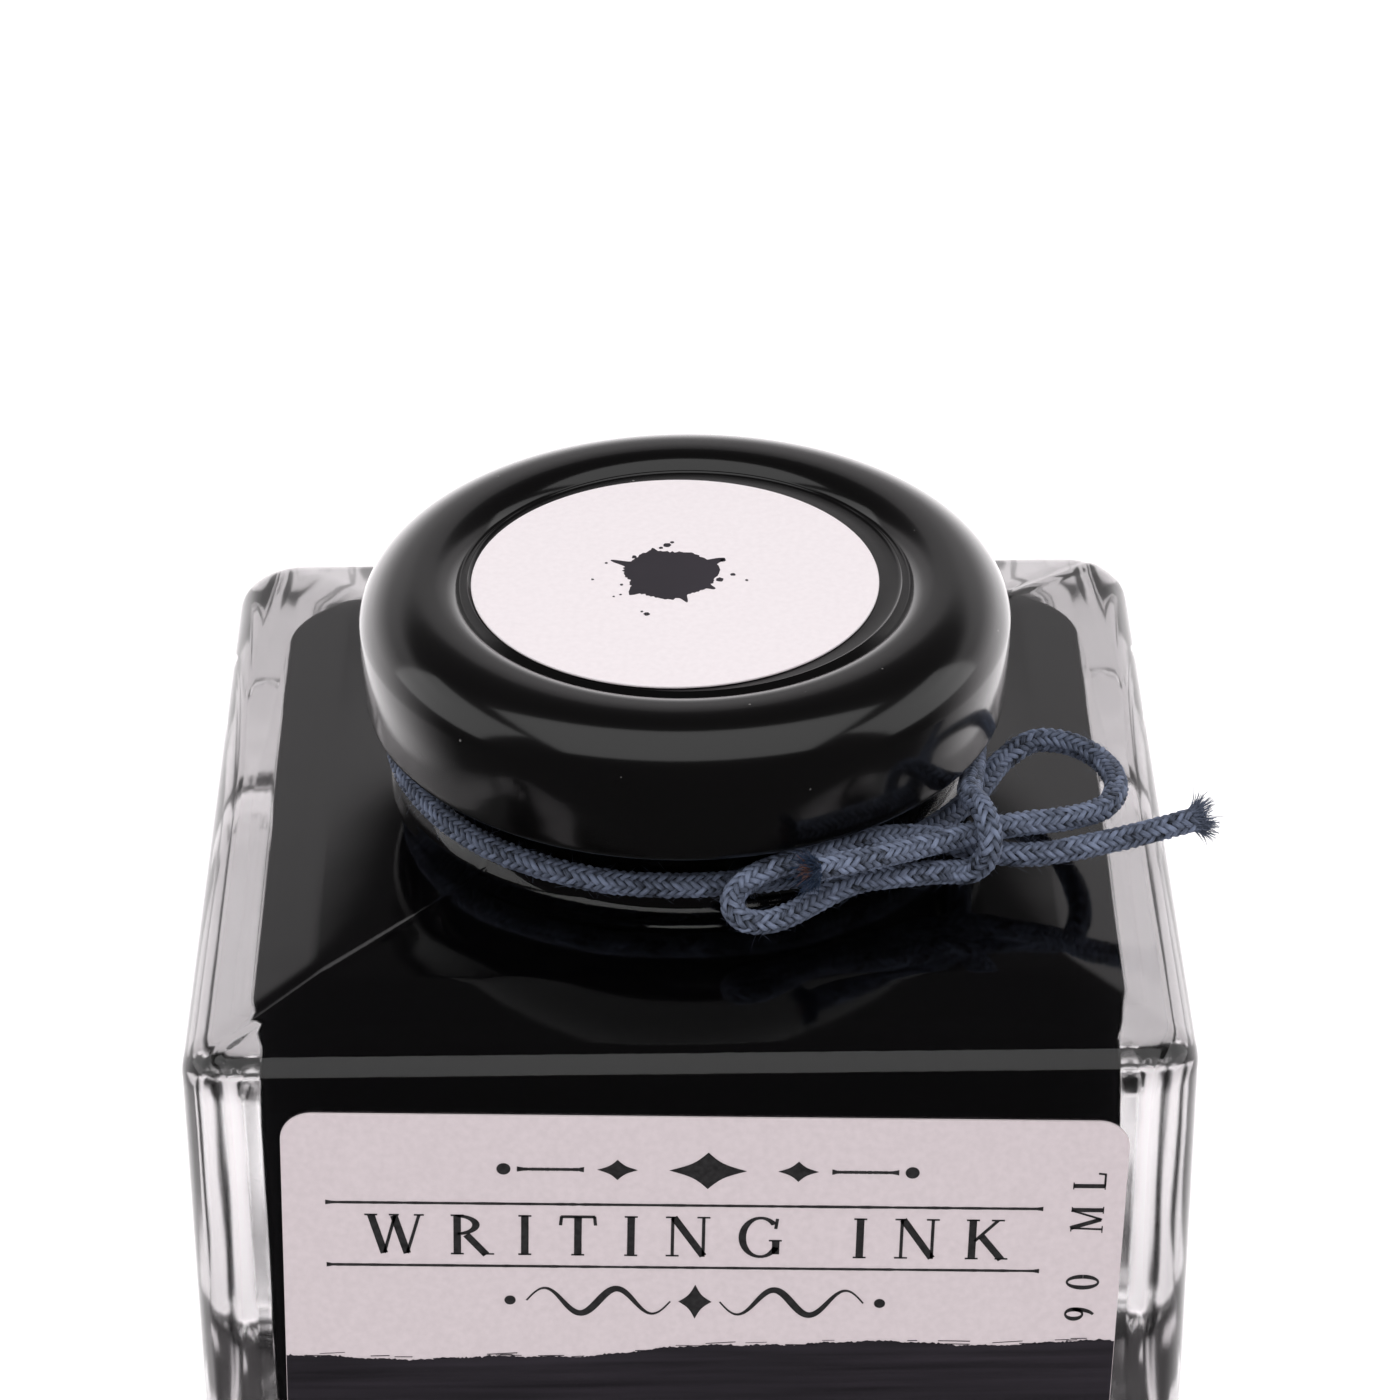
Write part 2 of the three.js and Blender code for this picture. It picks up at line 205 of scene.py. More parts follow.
def slow_noise(length, spacing, amount):
    """Random values at even spacings along a length, joined by straight lines."""
    knots = rng.normal(0, amount, int(length[-1] / spacing) + 2)
    return np.interp(length / spacing, np.arange(len(knots)), knots)


def braid(line, along):
    """Sixteen yarns on helices of both hands. A yarn's distance from the centre line is the braid
    radius plus the lift times a cosine whose period is four crossings, so that it lies over two
    yarns of the other hand and under the next two."""
    tangent, side, lift = carried_frames(line)
    points, faces, shade, fibre = [], [], [], []
    turn_rate = 2 * np.pi / BRAID_LAY
    crossing = along * turn_rate * YARNS_EACH_WAY / np.pi
    ends = np.clip(np.minimum(along, along[-1] - along) / 0.5, 0, 1)
    count = 0
    corners = 6
    for hand in (1, -1):
        for k in range(YARNS_EACH_WAY):
            angle = 2 * np.pi * k / YARNS_EACH_WAY + hand * turn_rate * along
            angle = angle + slow_noise(along, 1.4, 0.035)
            order = 2 * k + hand * crossing
            radius = BRAID_RADIUS + hand * BRAID_LIFT * np.cos(np.pi / 2 * (order - 0.5))
            radius = radius + slow_noise(along, 0.7, 0.012)
            out = side * np.cos(angle)[:, None] + lift * np.sin(angle)[:, None]
            centre = line + out * radius[:, None]
            course = unit(np.gradient(centre, axis=0))
            across = unit(np.cross(out, course))
            above = np.cross(course, across)
            wide = YARN_HALF_WIDTH * (0.85 + 0.15 * ends) * (1 + slow_noise(along, 0.9, 0.06))
            high = np.full(len(line), YARN_HALF_HEIGHT)
            points.append(tube(centre, across, above, wide, high, corners))
            faces += [block[:, ::-1] + count for block in closed_skin(len(line), corners)]
            count += len(line) * corners
            tone = 0.5 + slow_noise(along, 2.5, 0.13) + rng.normal(0, 0.08)
            # Painted shade: a yarn darkens where it dips under the other hand's yarns and lightens where
            # it rides over them, by three times its rise above the braid radius.
            tone = tone + 3.0 * (radius - BRAID_RADIUS)
            shade.append(np.repeat(tone, corners))
            fibre.append(np.column_stack([
                np.repeat(along + 13.7 * k + (50 if hand > 0 else 0), corners),
                np.tile(np.arange(corners) / corners, len(line)),
            ]))
    core_radius = np.full(len(line), CORE_RADIUS)
    core = tube(line, side, lift, core_radius, core_radius, corners)
    points.append(core)
    faces += [block + count for block in closed_skin(len(line), corners)]
    # Painted shade: the core, seen only through the gaps between the yarns, takes the darkest colour of
    # the ramp so that the gaps read as shadow.
    shade.append(np.full(len(core), -0.2))
    fibre.append(np.zeros((len(core), 2)))
    all_faces = [f for block in faces for f in block.tolist()]
    return np.vstack(points), all_faces, np.concatenate(shade), np.vstack(fibre)


def hairs(roots, directions, lengths, thickness, bend, segments):
    """Thin curved fibres: each starts at its root and runs along its direction plus a bend that
    grows with the square of the way along it; its section is a triangle that tapers to the tip."""
    count = len(roots)
    t = np.linspace(0, 1, segments + 1)
    centre = (roots[:, None] + directions[:, None] * (lengths[:, None] * t)[..., None]
              + bend[:, None] * (lengths[:, None] * t**2)[..., None])
    first = unit(np.cross(directions, rng.normal(size=directions.shape)))
    second = np.cross(directions, first)
    angle = 2 * np.pi * np.arange(3) / 3
    ring = first[:, None] * np.cos(angle)[None, :, None] + second[:, None] * np.sin(angle)[None, :, None]
    taper = thickness[:, None] * (1 - 0.75 * t)
    points = centre[:, :, None] + ring[:, None] * taper[..., None, None]
    quads = skin(segments + 1, 3)
    base = (np.arange(count) * (segments + 1) * 3)[:, None, None]
    faces = (quads[None] + base).reshape(-1, 4)
    tips = (np.arange(count) * (segments + 1) * 3)[:, None] + segments * 3 + np.arange(3)[None]
    return points.reshape(-1, 3), [*faces.tolist(), *tips.tolist()]


def set_inputs(node, inputs):
    """Gives inputs of a node their values, by name or by number."""
    for key, value in inputs.items():
        node.inputs[key].default_value = value


def join(made, source, output, target, own):
    """Links an output of one node to an input of another."""
    made.node_tree.links.new(source.outputs[output], target.inputs[own])


def add_node(made, kind, inputs=None, feeds=(), operation=None):
    """A new node with its operation and values; a feed is a source node, its output and the
    input that it drives."""
    node = made.node_tree.nodes.new(kind)
    if operation:
        node.operation = operation
    set_inputs(node, inputs or {})
    for source, output, own in feeds:
        join(made, source, output, node, own)
    return node


def new_finish(name, inputs):
    """A material made of nodes, and its shader with the given inputs."""
    made = bpy.data.materials.new(name)
    made.use_nodes = True
    shader = made.node_tree.nodes["Principled BSDF"]
    set_inputs(shader, inputs)
    return made, shader


def two_tones(made, shader, source, output, low, dark, high, light):
    """Colours a shader between two tones, which a source's output reaches at low and high."""
    ramp = add_node(made, "ShaderNodeValToRGB", feeds=[(source, output, "Fac")])
    for stop, place, tone in zip(ramp.color_ramp.elements, (low, high), (dark, light)):
        stop.position = place
        stop.color = (*tone, 1)
    join(made, ramp, "Color", shader, "Base Color")


def raise_by(made, shader, source, strength, distance, sockets=("Normal",)):
    """Lets a texture raise a shader's surface by up to a distance in metres."""
    bump = add_node(made, "ShaderNodeBump", {"Strength": strength, "Distance": distance},
                    [(source, "Fac", "Height")])
    for socket in sockets:
        join(made, bump, "Normal", shader, socket)


def cord_finish(name, dark, light, rough):
    """Waxed cotton: colour runs between two tones by each point's stored shade value, which holds
    the yarn's own tone together with painted shade, and by fine streaks along the yarn, and the
    same streaks raise its fibres."""
    made, shader = new_finish(name, {
        "Roughness": rough, "Sheen Weight": 0.12, "Sheen Roughness": 0.4,
        "Sheen Tint": (0.6, 0.68, 0.85, 1),
    })
    shade = add_node(made, "ShaderNodeAttribute")
    shade.attribute_name = "shade"
    place = add_node(made, "ShaderNodeUVMap")
    stretch = add_node(made, "ShaderNodeMapping", {"Scale": (2.2, 11.0, 1.0)},
                       [(place, "UV", "Vector")])
    streaks = add_node(made, "ShaderNodeTexNoise", {"Scale": 1.0, "Detail": 4.0, "Roughness": 0.65},
                       [(stretch, "Vector", "Vector")])
    shift = add_node(made, "ShaderNodeMath", {1: 0.45}, [(shade, "Fac", 0)], "SUBTRACT")
    mix = add_node(made, "ShaderNodeMath", {1: 0.9}, [(streaks, "Fac", 0), (shift, "Value", 2)],
                   "MULTIPLY_ADD")
    two_tones(made, shader, mix, "Value", 0.26, dark, 0.95, light)
    raise_by(made, shader, streaks, 0.6, 0.00004)
    return made


cord_line, cord_along = even_line(smooth_line(cord_route), CORD_STEP)
cord_points, cord_faces, cord_tone_and_painted_shade, cord_fibre = braid(cord_line, cord_along)
neck_cord = build_mesh("neck_cord_braid", cord_points, cord_faces)
point_attribute(neck_cord, "shade", cord_tone_and_painted_shade)
fibre_map = neck_cord.data.uv_layers.new(name="fibre")
loop_vertex = np.zeros(len(neck_cord.data.loops), np.int32)
neck_cord.data.loops.foreach_get("vertex_index", loop_vertex)
fibre_map.data.foreach_set("uv", cord_fibre[loop_vertex].astype(np.float32).ravel())
cord_blue = cord_finish("waxed_cotton", (0.0025, 0.004, 0.008), (0.19, 0.225, 0.325), 0.8)
neck_cord.data.materials.append(cord_blue)

# Loose fibres stand off the braid all along, lying mostly with the cord.
FUZZ_COUNT = 2600
FUZZ_ROOT_RADIUS = 0.72
FUZZ_THICKNESS = 0.009
at = rng.integers(4, len(cord_line) - 4, FUZZ_COUNT)
tangents, sides, lifts = carried_frames(cord_line)
turn_of = rng.uniform(0, 2 * np.pi, FUZZ_COUNT)
outward = sides[at] * np.cos(turn_of)[:, None] + lifts[at] * np.sin(turn_of)[:, None]
lean = rng.choice([-1.0, 1.0], FUZZ_COUNT)[:, None] * tangents[at]
around = np.cross(tangents[at], outward) * rng.normal(0, 0.8, FUZZ_COUNT)[:, None]
fuzz_points, fuzz_faces = hairs(
    cord_line[at] + outward * FUZZ_ROOT_RADIUS,
    unit(outward * rng.uniform(0.15, 0.7, FUZZ_COUNT)[:, None] + lean + around),
    rng.uniform(0.25, 0.75, FUZZ_COUNT),
    np.full(FUZZ_COUNT, FUZZ_THICKNESS),
    rng.normal(0, 0.35, (FUZZ_COUNT, 3)),
    3,
)
cord_fuzz = build_mesh("neck_cord_fuzz", fuzz_points, fuzz_faces)
point_attribute(cord_fuzz, "shade", np.full(len(fuzz_points), 0.75))
cord_fuzz.data.materials.append(cord_blue)


FRAY_RADIUS = 0.68
FRAY_CORE_RADIUS = 0.27
FRAY_SEGMENTS = 7


def frayed_end(name, end, pointing, count, spread, longest, outer_shade):
    """A tuft where the braid has come apart: fibres start over the cut end and splay outwards
    the more the further out they start."""
    first = np.cross(pointing, [0, 0, 1])
    first /= np.linalg.norm(first)
    second = np.cross(pointing, first)
    angle = rng.uniform(0, 2 * np.pi, count)
    start = FRAY_RADIUS * np.sqrt(rng.uniform(0, 1, count))
    away = first[None] * np.cos(angle)[:, None] + second[None] * np.sin(angle)[:, None]
    roots = end - pointing * 0.35 + away * start[:, None]
    splay = away * (spread * start / FRAY_RADIUS)[:, None]
    heading = unit(pointing + splay + rng.normal(0, 0.12, (count, 3)))
    lengths = rng.uniform(0.45, 1.0, count) * longest
    points, faces = hairs(roots, heading, lengths, rng.uniform(0.03, 0.085, count),
                          rng.normal(0, 0.25, (count, 3)) + away * 0.15, FRAY_SEGMENTS)
    tuft = build_mesh(name, points, faces)
    inner = np.repeat(start < FRAY_CORE_RADIUS, (FRAY_SEGMENTS + 1) * 3)
    point_attribute(tuft, "shade", np.where(inner, 0.95, outer_shade) + rng.normal(0, 0.12, len(points)))
    return tuft


left_fray = frayed_end("neck_cord_left_fray", cord_line[0], -tangents[0], 460, 0.58, 1.25, 0.2)
frayed_dark_cotton = cord_finish("frayed_dark_cotton", (0.010, 0.026, 0.062), (0.13, 0.06, 0.045), 0.9)
left_fray.data.materials.append(frayed_dark_cotton)
right_fray = frayed_end("neck_cord_right_fray", cord_line[-1], tangents[-1], 460, 0.5, 1.35, 0.6)
right_fray.data.materials.append(cord_blue)

for piece in (neck_cord, cord_fuzz, left_fray, right_fray):
    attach(piece, "bottle")
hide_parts("neck_cord")


# ---------------------------------------------------------------- glass bottle
# One piece of clear pressed glass: a square body with thick walls and a heavy base, a low
# four-sided shoulder, and a round neck with three short helical ribs that the lid's lugs grip.
# The two halves of its mould have left a fine seam up two opposite corners.
BODY_HALF = 30.4
WALL = 4.4
HOLLOW_HALF = BODY_HALF - WALL
EDGE_RADIUS = 2.6
EDGE_START_Z = 43.75
NECK_RADIUS = 17.3
BORE_RADIUS = 14.3
RIM_Z = 61.2
SEAM_WIDTH = 0.006
THREAD_LEAD = 8.0
THREAD_ARC_DEG = 100.0
THREAD_START_Z = 55.62
THREAD_HEIGHT = 1.3
THREAD_HALF_WIDTH = 0.56
THREAD_FADE_DEG = 9
FLAT_WALL_TOP = 42.5
FLAT_WALL_HALF = 24


def around_the_square():
    """Angles round the bottle, close together at the four corners and wider on the flats."""
    flat = np.linspace(-38.5, 38.5, 22)
    corner = np.linspace(38.5, 51.5, 23)[1:-1]
    quarter = np.concatenate([flat, corner])
    return np.radians(np.concatenate([quarter + 90 * k for k in range(4)]))


def square_reach(angle, half, corner):
    """Distance from the axis to a rounded square: half width over the cosine on the flats, and
    the far crossing of the ray with the corner circle elsewhere."""
    folded = np.abs((angle + np.pi / 4) % (np.pi / 2) - np.pi / 4)
    inset = half - corner
    on_flat = half / np.cos(folded)
    inside = np.maximum(corner**2 - inset**2 * (np.cos(folded) - np.sin(folded)) ** 2, 0)
    on_corner = inset * (np.cos(folded) + np.sin(folded)) + np.sqrt(inside)
    return np.where(half * np.tan(folded) <= inset, on_flat, on_corner)


def sweep_profile(stations, angle):
    """Points on rings round the axis. A station is half width, corner radius, roundness and
    height; its ring is the rounded square blended into a circle by the roundness."""
    half, corner, roundness, z = (stations[:, k][:, None] for k in range(4))
    square = square_reach(angle[None, :], np.maximum(half, 1e-6), np.minimum(corner, half))
    reach = square * (1 - roundness) + half * roundness
    return reach, np.broadcast_to(z, reach.shape).copy()


def arc_stations(centre_half, centre_z, radius_half, radius_z, start, end, count, corner, roundness):
    """Stations along an elliptical arc in the plane of half width and height."""
    t = np.radians(np.linspace(start, end, count))
    half = centre_half + radius_half * np.cos(t)
    return np.column_stack([half, np.full(count, corner), np.full(count, roundness),
                            centre_z + radius_z * np.sin(t)])


def between(first, last, count):
    """Evenly spaced stations from one to another, without the first."""
    t = np.linspace(0, 1, count + 1)[1:, None]
    return np.asarray(first) * (1 - t) + np.asarray(last) * t


def eased(first, last, count):
    """As between, but easing in and out by the cubic smoothstep."""
    t = np.linspace(0, 1, count + 1)[1:, None]
    t = t * t * (3 - 2 * t)
    return np.asarray(first) * (1 - t) + np.asarray(last) * t


def rings_of_points(reach, z, angle):
    """Points at a distance from the axis, an angle round it and a height, ring by ring."""
    x = reach * np.cos(angle)[None]
    y = reach * np.sin(angle)[None]
    return np.stack([x, y, z], axis=-1).reshape(-1, 3)


def closed_sweep(reach, z, angle):
    """Rings of points with a pole at each end, and the faces that join them into a closed skin."""
    rows, columns = reach.shape
    grid = rings_of_points(reach, z, angle)
    poles = np.array([[0, 0, z[0].mean()], [0, 0, z[-1].mean()]])
    faces = skin(rows, columns).tolist()
    c = np.arange(columns)
    n = (c + 1) % columns
    low, high = rows * columns, rows * columns + 1
    last = (rows - 1) * columns
    faces += np.column_stack([n, c, np.full(columns, low)]).tolist()
    faces += np.column_stack([last + c, last + n, np.full(columns, high)]).tolist()
    return np.vstack([grid, poles]), faces


def wall_ripple(angle, z):
    """The slow unevenness of a pressed inner wall: three crossed sine waves."""
    return (0.04 * np.sin(3 * angle + z * 0.16) + 0.022 * np.sin(7 * angle - z * 0.31 + 1.3)
            + 0.018 * np.sin(z * 0.55 + 2 * angle))


def thread_lift(angle, z):
    """Height of the three helical ribs over the neck: a rounded ridge round each helix that
    fades out at both ends of its arc."""
    lift = np.zeros(np.broadcast(angle, z).shape)
    degrees = np.degrees(angle) % 360
    for start in (0, 120, 240):
        along = (degrees - start) % 360
        centre = THREAD_START_Z + THREAD_LEAD * along / 360
        ends = np.clip(np.minimum(along, THREAD_ARC_DEG - along) / THREAD_FADE_DEG, 0, 1)
        ridge = np.clip(1.25 - (np.abs(z - centre) / THREAD_HALF_WIDTH) ** 2, 0, 1)
        lift = np.maximum(lift, THREAD_HEIGHT * ends * ridge * (along <= THREAD_ARC_DEG))
    return lift


shoulder_edge = arc_stations(
    BODY_HALF - EDGE_RADIUS, EDGE_START_Z, EDGE_RADIUS, EDGE_RADIUS, 0, 77, 12, 4.0, 0.0)
shoulder_edge[:, 1] = 4.0 - 1.6 * (BODY_HALF - shoulder_edge[:, 0]) / 2.0
outside = np.vstack([
    [[0.5, 0.5, 0.0, 1.05]],
    between([0.5, 0.5, 0, 1.05], [22.0, 6.0, 0, 0.9], 6),
    eased([22.0, 6.0, 0, 0.9], [25.8, 5.0, 0, 0.0], 6),
    between([25.8, 5.0, 0, 0.0], [28.6, 2.6, 0, 0.0], 3),
    arc_stations(BODY_HALF - 1.8, 1.8, 1.8, 1.8, -82, 0, 8, 4.0, 0.0),
    between([BODY_HALF, 4.0, 0, 1.8], [BODY_HALF, 4.0, 0, EDGE_START_Z], 26)[:-1],
    shoulder_edge,
    between([28.39, 2.4, 0.0, 46.28], [22.6, 2.2, 0.0, 47.45], 12),
    eased([22.6, 2.2, 0.0, 47.45], [18.7, 13.5, 0.9, 48.25], 10),
    arc_stations(18.9, 49.8, 1.6, 1.5, 262, 182, 8, 17.0, 1.0),
    between([NECK_RADIUS, NECK_RADIUS, 1.0, 49.8], [NECK_RADIUS, NECK_RADIUS, 1.0, 54.2], 5),
    between([NECK_RADIUS, NECK_RADIUS, 1.0, 54.2], [NECK_RADIUS, NECK_RADIUS, 1.0, 59.8], 38),
    arc_stations(NECK_RADIUS - 1.2, RIM_Z - 1.2, 1.2, 1.2, 5, 90, 9, 16.0, 1.0),
    arc_stations(BORE_RADIUS + 1.0, RIM_Z - 1.0, 1.0, 1.0, 90, 180, 8, 14.0, 1.0),
])
hollow = np.vstack([
    between([BORE_RADIUS, BORE_RADIUS, 1.0, RIM_Z - 1.0], [BORE_RADIUS, BORE_RADIUS, 1.0, 48.0], 10),
    eased([BORE_RADIUS, BORE_RADIUS, 1.0, 48.0], [16.8, 11.0, 0.25, 45.0], 7),
    between([16.8, 11.0, 0.25, 45.0], [22.9, 5.0, 0.0, 43.35], 8),
    arc_stations(22.9, 40.3, 3.1, 3.05, 84, 0, 12, 4.0, 0.0),
    between([HOLLOW_HALF, 3.5, 0, 40.3], [HOLLOW_HALF, 3.5, 0, 13.0], 20),
    arc_stations(22.5, 13.0, 3.5, 3.5, -4, -86, 10, 3.2, 0.0),
    between([22.5, 3.0, 0, 9.5], [0.5, 0.5, 0, 10.0], 8),
])
angle = around_the_square()
all_stations = np.vstack([outside, hollow])
reach, height = sweep_profile(all_stations, angle)
in_hollow = np.arange(len(all_stations))[:, None] >= len(outside)
in_body = ((all_stations[:, 3] < FLAT_WALL_TOP) & (all_stations[:, 0] > FLAT_WALL_HALF))[:, None]
on_neck = ~in_hollow & (all_stations[:, 2] == 1.0)[:, None] & (all_stations[:, 0] > 17.2)[:, None]
reach = reach + np.where(in_hollow & in_body, wall_ripple(angle[None], height), 0)
reach = reach + np.where(on_neck, thread_lift(angle[None], height), 0)
to_seam = np.minimum(np.abs(angle - np.radians(225)), np.abs(angle - np.radians(45)))
seam = np.exp(-(to_seam / SEAM_WIDTH) ** 2)
body_rows = ~in_hollow & (all_stations[:, 3] > 1.5)[:, None] & (all_stations[:, 3] < 49.5)[:, None]
on_shoulder = body_rows & (all_stations[:, 3] > 45.5)[:, None]
reach = reach + np.where(body_rows & ~on_shoulder, 0.07 * seam[None], 0)
height = height + np.where(on_shoulder, 0.09 * seam[None], 0)
glass_points, glass_faces = closed_sweep(reach, height, angle)
glass_bottle = build_mesh("glass_bottle_body", glass_points, glass_faces)


def clear_glass():
    """Clear soda-lime glass with a faint lilac cast, neither quite flat nor quite smooth."""
    made, shader = new_finish("clear_glass", {
        "Base Color": (0.875, 0.845, 0.862, 1), "Roughness": 0.075, "IOR": 1.5,
        "Transmission Weight": 1.0,
    })
    place = add_node(made, "ShaderNodeTexCoord")
    flow = add_node(made, "ShaderNodeTexNoise", {"Scale": 75.0, "Detail": 2.0},
                    [(place, "Object", "Vector")])
    raise_by(made, shader, flow, 0.2, 0.0002)
    return made


glass_bottle.data.materials.append(clear_glass())
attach(glass_bottle, "bottle")
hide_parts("glass_bottle")


# ---------------------------------------------------------------- ink
# Opaque black ink fills the hollow up into the lower neck, where its level surface turns up a
# little at the wall. It clings to the glass under the shoulder and at the front; a film of air
# parts it from the other walls, which mirror whatever strikes them at a low angle.
INK_LEVEL = 52.0
INTO_GLASS = 0.05
CLING_ABOVE_Z = 40.6
CLING_FADE = 0.8
CLING_FRONT_DEG = 50.0
CLING_FRONT_FADE_DEG = 4.0
FRONT_DEG = 270
FLOOR_CURVE_TOP = 13.5
SLOPE_LOW_Z = 41.5
SLOPE_HIGH_Z = 47.5

ink_stations = hollow[hollow[:, 3] < INK_LEVEL - 0.5]
meniscus = np.column_stack([
    [0.4, 6.0, 11.0, 12.8, 13.6, 14.1],
    [0.4, 6.0, 11.0, 12.8, 13.6, 14.1],
    np.ones(6),
    INK_LEVEL + np.array([0.0, 0.0, 0.01, 0.08, 0.28, 0.62]),
])
wall_top = np.array([[BORE_RADIUS + INTO_GLASS, BORE_RADIUS, 1.0, INK_LEVEL + 0.75]])
ink_all = np.vstack([meniscus, wall_top, ink_stations])[::-1]
reach, height = sweep_profile(ink_all, angle)
level = ink_all[:, 3][:, None]
wide = ink_all[:, 0][:, None]
wet = (np.arange(len(ink_all)) < len(ink_stations))[:, None]
on_flat_wall = wet & (level < FLAT_WALL_TOP) & (wide > FLAT_WALL_HALF)
reach = reach + np.where(on_flat_wall, wall_ripple(angle[None], height), 0)
from_front = np.abs(np.degrees(angle) % 360 - FRONT_DEG)[None]
touching_above = np.clip((level - CLING_ABOVE_Z) / CLING_FADE, 0, 1)
touching_front = np.clip((CLING_FRONT_DEG - from_front) / CLING_FRONT_FADE_DEG, 0, 1)
cling = np.maximum(touching_above, touching_front) * 2 - 1
reach = reach + np.where(wet & (reach > 1), INTO_GLASS * cling, 0)
height = height + np.where(wet & (level < FLOOR_CURVE_TOP), INTO_GLASS, 0)
on_slope = wet & (level > SLOPE_LOW_Z) & (level < SLOPE_HIGH_Z)
height = height + np.where(on_slope, INTO_GLASS * cling, 0)
ink_points, ink_faces = closed_sweep(reach, height, angle)
ink = build_mesh("ink_fill", ink_points, ink_faces)


def ink_finish(name, ior, rough):
    """Black ink: absorbs all light that enters it; only its surface reflects."""
    made, shader = new_finish(name, {"Roughness": rough, "IOR": ior})
    place = add_node(made, "ShaderNodeTexCoord")
    cloud = add_node(made, "ShaderNodeTexNoise", {"Scale": 60.0}, [(place, "Object", "Vector")])
    two_tones(made, shader, cloud, "Fac", 0.0, (0.0022, 0.0021, 0.0026),
              1.0, (0.0040, 0.0038, 0.0048))
    return made


ink.data.materials.append(ink_finish("ink_against_glass", 1.02, 0.1))
ink.data.materials.append(ink_finish("ink_surface", 1.34, 0.02))
face_height = np.array([p.center.z for p in ink.data.polygons])
face_reach = np.array([np.hypot(p.center.x, p.center.y) for p in ink.data.polygons])
is_top = (face_height > (INK_LEVEL - 0.2) * MM) & (face_reach < (BORE_RADIUS - 0.15) * MM)
ink.data.polygons.foreach_set("material_index", is_top.astype(np.int32))
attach(ink, "bottle")
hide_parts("ink")


# ---------------------------------------------------------------- lid shell
# A pressed tinplate twist-off lid lacquered gloss black: a sunk panel, a raised ring over the
# sealing ring, a wide rounded shoulder, a short skirt, and a hem rolled inwards with three lugs.
LID_RADIUS = 20.4
LID_TOP = 62.4
LID_ROUNDING_WIDE = 3.8
LID_ROUNDING_HIGH = 3.4
LID_SHEET = 0.4
PANEL_Z = 61.8
HEM_RADIUS = 0.5
LID_BOTTOM = 53.9
FIRST_LUG_DEG = 15
LUG_HALF_DEG = 9.5
LUG_DEPTH = 1.35


def profile_arc(centre_r, centre_z, radius_r, radius_z, start, end, count):
    """Points of an elliptical arc in the plane of radius and height."""
    t = np.radians(np.linspace(start, end, count))
    return np.column_stack([centre_r + radius_r * np.cos(t), centre_z + radius_z * np.sin(t)])


def spun(profile, columns):
    """Distance from the axis and height of a profile's points, the same in every column."""
    return [np.repeat(profile[:, k][:, None], columns, axis=1) for k in range(2)]


lid_outside = np.vstack([
    [[0.3, PANEL_Z], [6.0, PANEL_Z], [12.6, PANEL_Z]],
    profile_arc(13.3, PANEL_Z + 0.35, 0.35, 0.35, -90, -35, 5),
    profile_arc(15.7, LID_TOP - 1.9, 2.05, 1.9, 148, 92, 9),
    profile_arc(LID_RADIUS - LID_ROUNDING_WIDE, LID_TOP - LID_ROUNDING_HIGH,
                LID_ROUNDING_WIDE, LID_ROUNDING_HIGH, 90, 8, 22),
    [[20.33, 57.5], [20.24, 56.0], [20.16, 54.9]],
])
lid_hem = profile_arc(19.65, LID_BOTTOM + HEM_RADIUS, HEM_RADIUS, HEM_RADIUS, 0, -235, 16)
lid_inside = np.vstack([
    [[19.72, 55.05], [19.8, 56.0], [19.9, 57.5]],
    profile_arc(LID_RADIUS - LID_ROUNDING_WIDE, LID_TOP - LID_ROUNDING_HIGH,
                LID_ROUNDING_WIDE - LID_SHEET, LID_ROUNDING_HIGH - LID_SHEET, 8, 90, 14),
    profile_arc(15.7, LID_TOP - 1.9, 2.05 - 0.2, 1.9 - LID_SHEET, 92, 140, 6),
    [[13.6, PANEL_Z - 0.32], [12.8, PANEL_Z - LID_SHEET]],
    [[6.0, PANEL_Z - LID_SHEET], [0.3, PANEL_Z - LID_SHEET]],
])
lid_profile = np.vstack([lid_outside, lid_hem, lid_inside])[::-1]
lid_angle = np.radians(np.arange(0, 360, 1.5))
reach, height = spun(lid_profile, len(lid_angle))
hem_rows = np.zeros(len(lid_profile), bool)
hem_rows[len(lid_inside):len(lid_inside) + len(lid_hem)] = True
swing = np.degrees(lid_angle)[None, :]
to_lug = np.abs((swing - FIRST_LUG_DEG + 60) % 120 - 60)
pressed = np.clip(1.35 - (to_lug / LUG_HALF_DEG) ** 2, 0, 1)
inner_side = hem_rows[:, None] & (reach < 19.66)
reach = reach - np.where(inner_side, LUG_DEPTH * pressed, 0)
lid_points, lid_faces = closed_sweep(reach, height, lid_angle)
lid_shell = build_mesh("lid_shell_pressing", lid_points, lid_faces)


def black_lacquer():
    """Gloss black lacquer over tinplate: a deep coat with a little orange peel and a few specks
    of dust."""
    made, shader = new_finish("black_lacquer", {
        "Roughness": 0.3, "Specular IOR Level": 0.04, "Coat Weight": 1.0, "Coat Roughness": 0.13,
    })
    place = add_node(made, "ShaderNodeTexCoord")
    dust = add_node(made, "ShaderNodeTexVoronoi", {"Scale": 420.0}, [(place, "Object", "Vector")])
    speck = add_node(made, "ShaderNodeMath", {1: 0.035}, [(dust, "Distance", 0)], "LESS_THAN")
    tint = add_node(made, "ShaderNodeMixRGB", {
        1: (0.0020, 0.0018, 0.0019, 1), 2: (0.16, 0.155, 0.15, 1),
    }, [(speck, "Value", 0)])
    join(made, tint, "Color", shader, "Base Color")
    peel = add_node(made, "ShaderNodeTexNoise", {"Scale": 700.0, "Detail": 1.5},
                    [(place, "Object", "Vector")])
    raise_by(made, shader, peel, 0.12, 0.00002, ("Normal", "Coat Normal"))
    return made


lid_shell.data.materials.append(black_lacquer())
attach(lid_shell, "lid")
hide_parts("lid_shell")


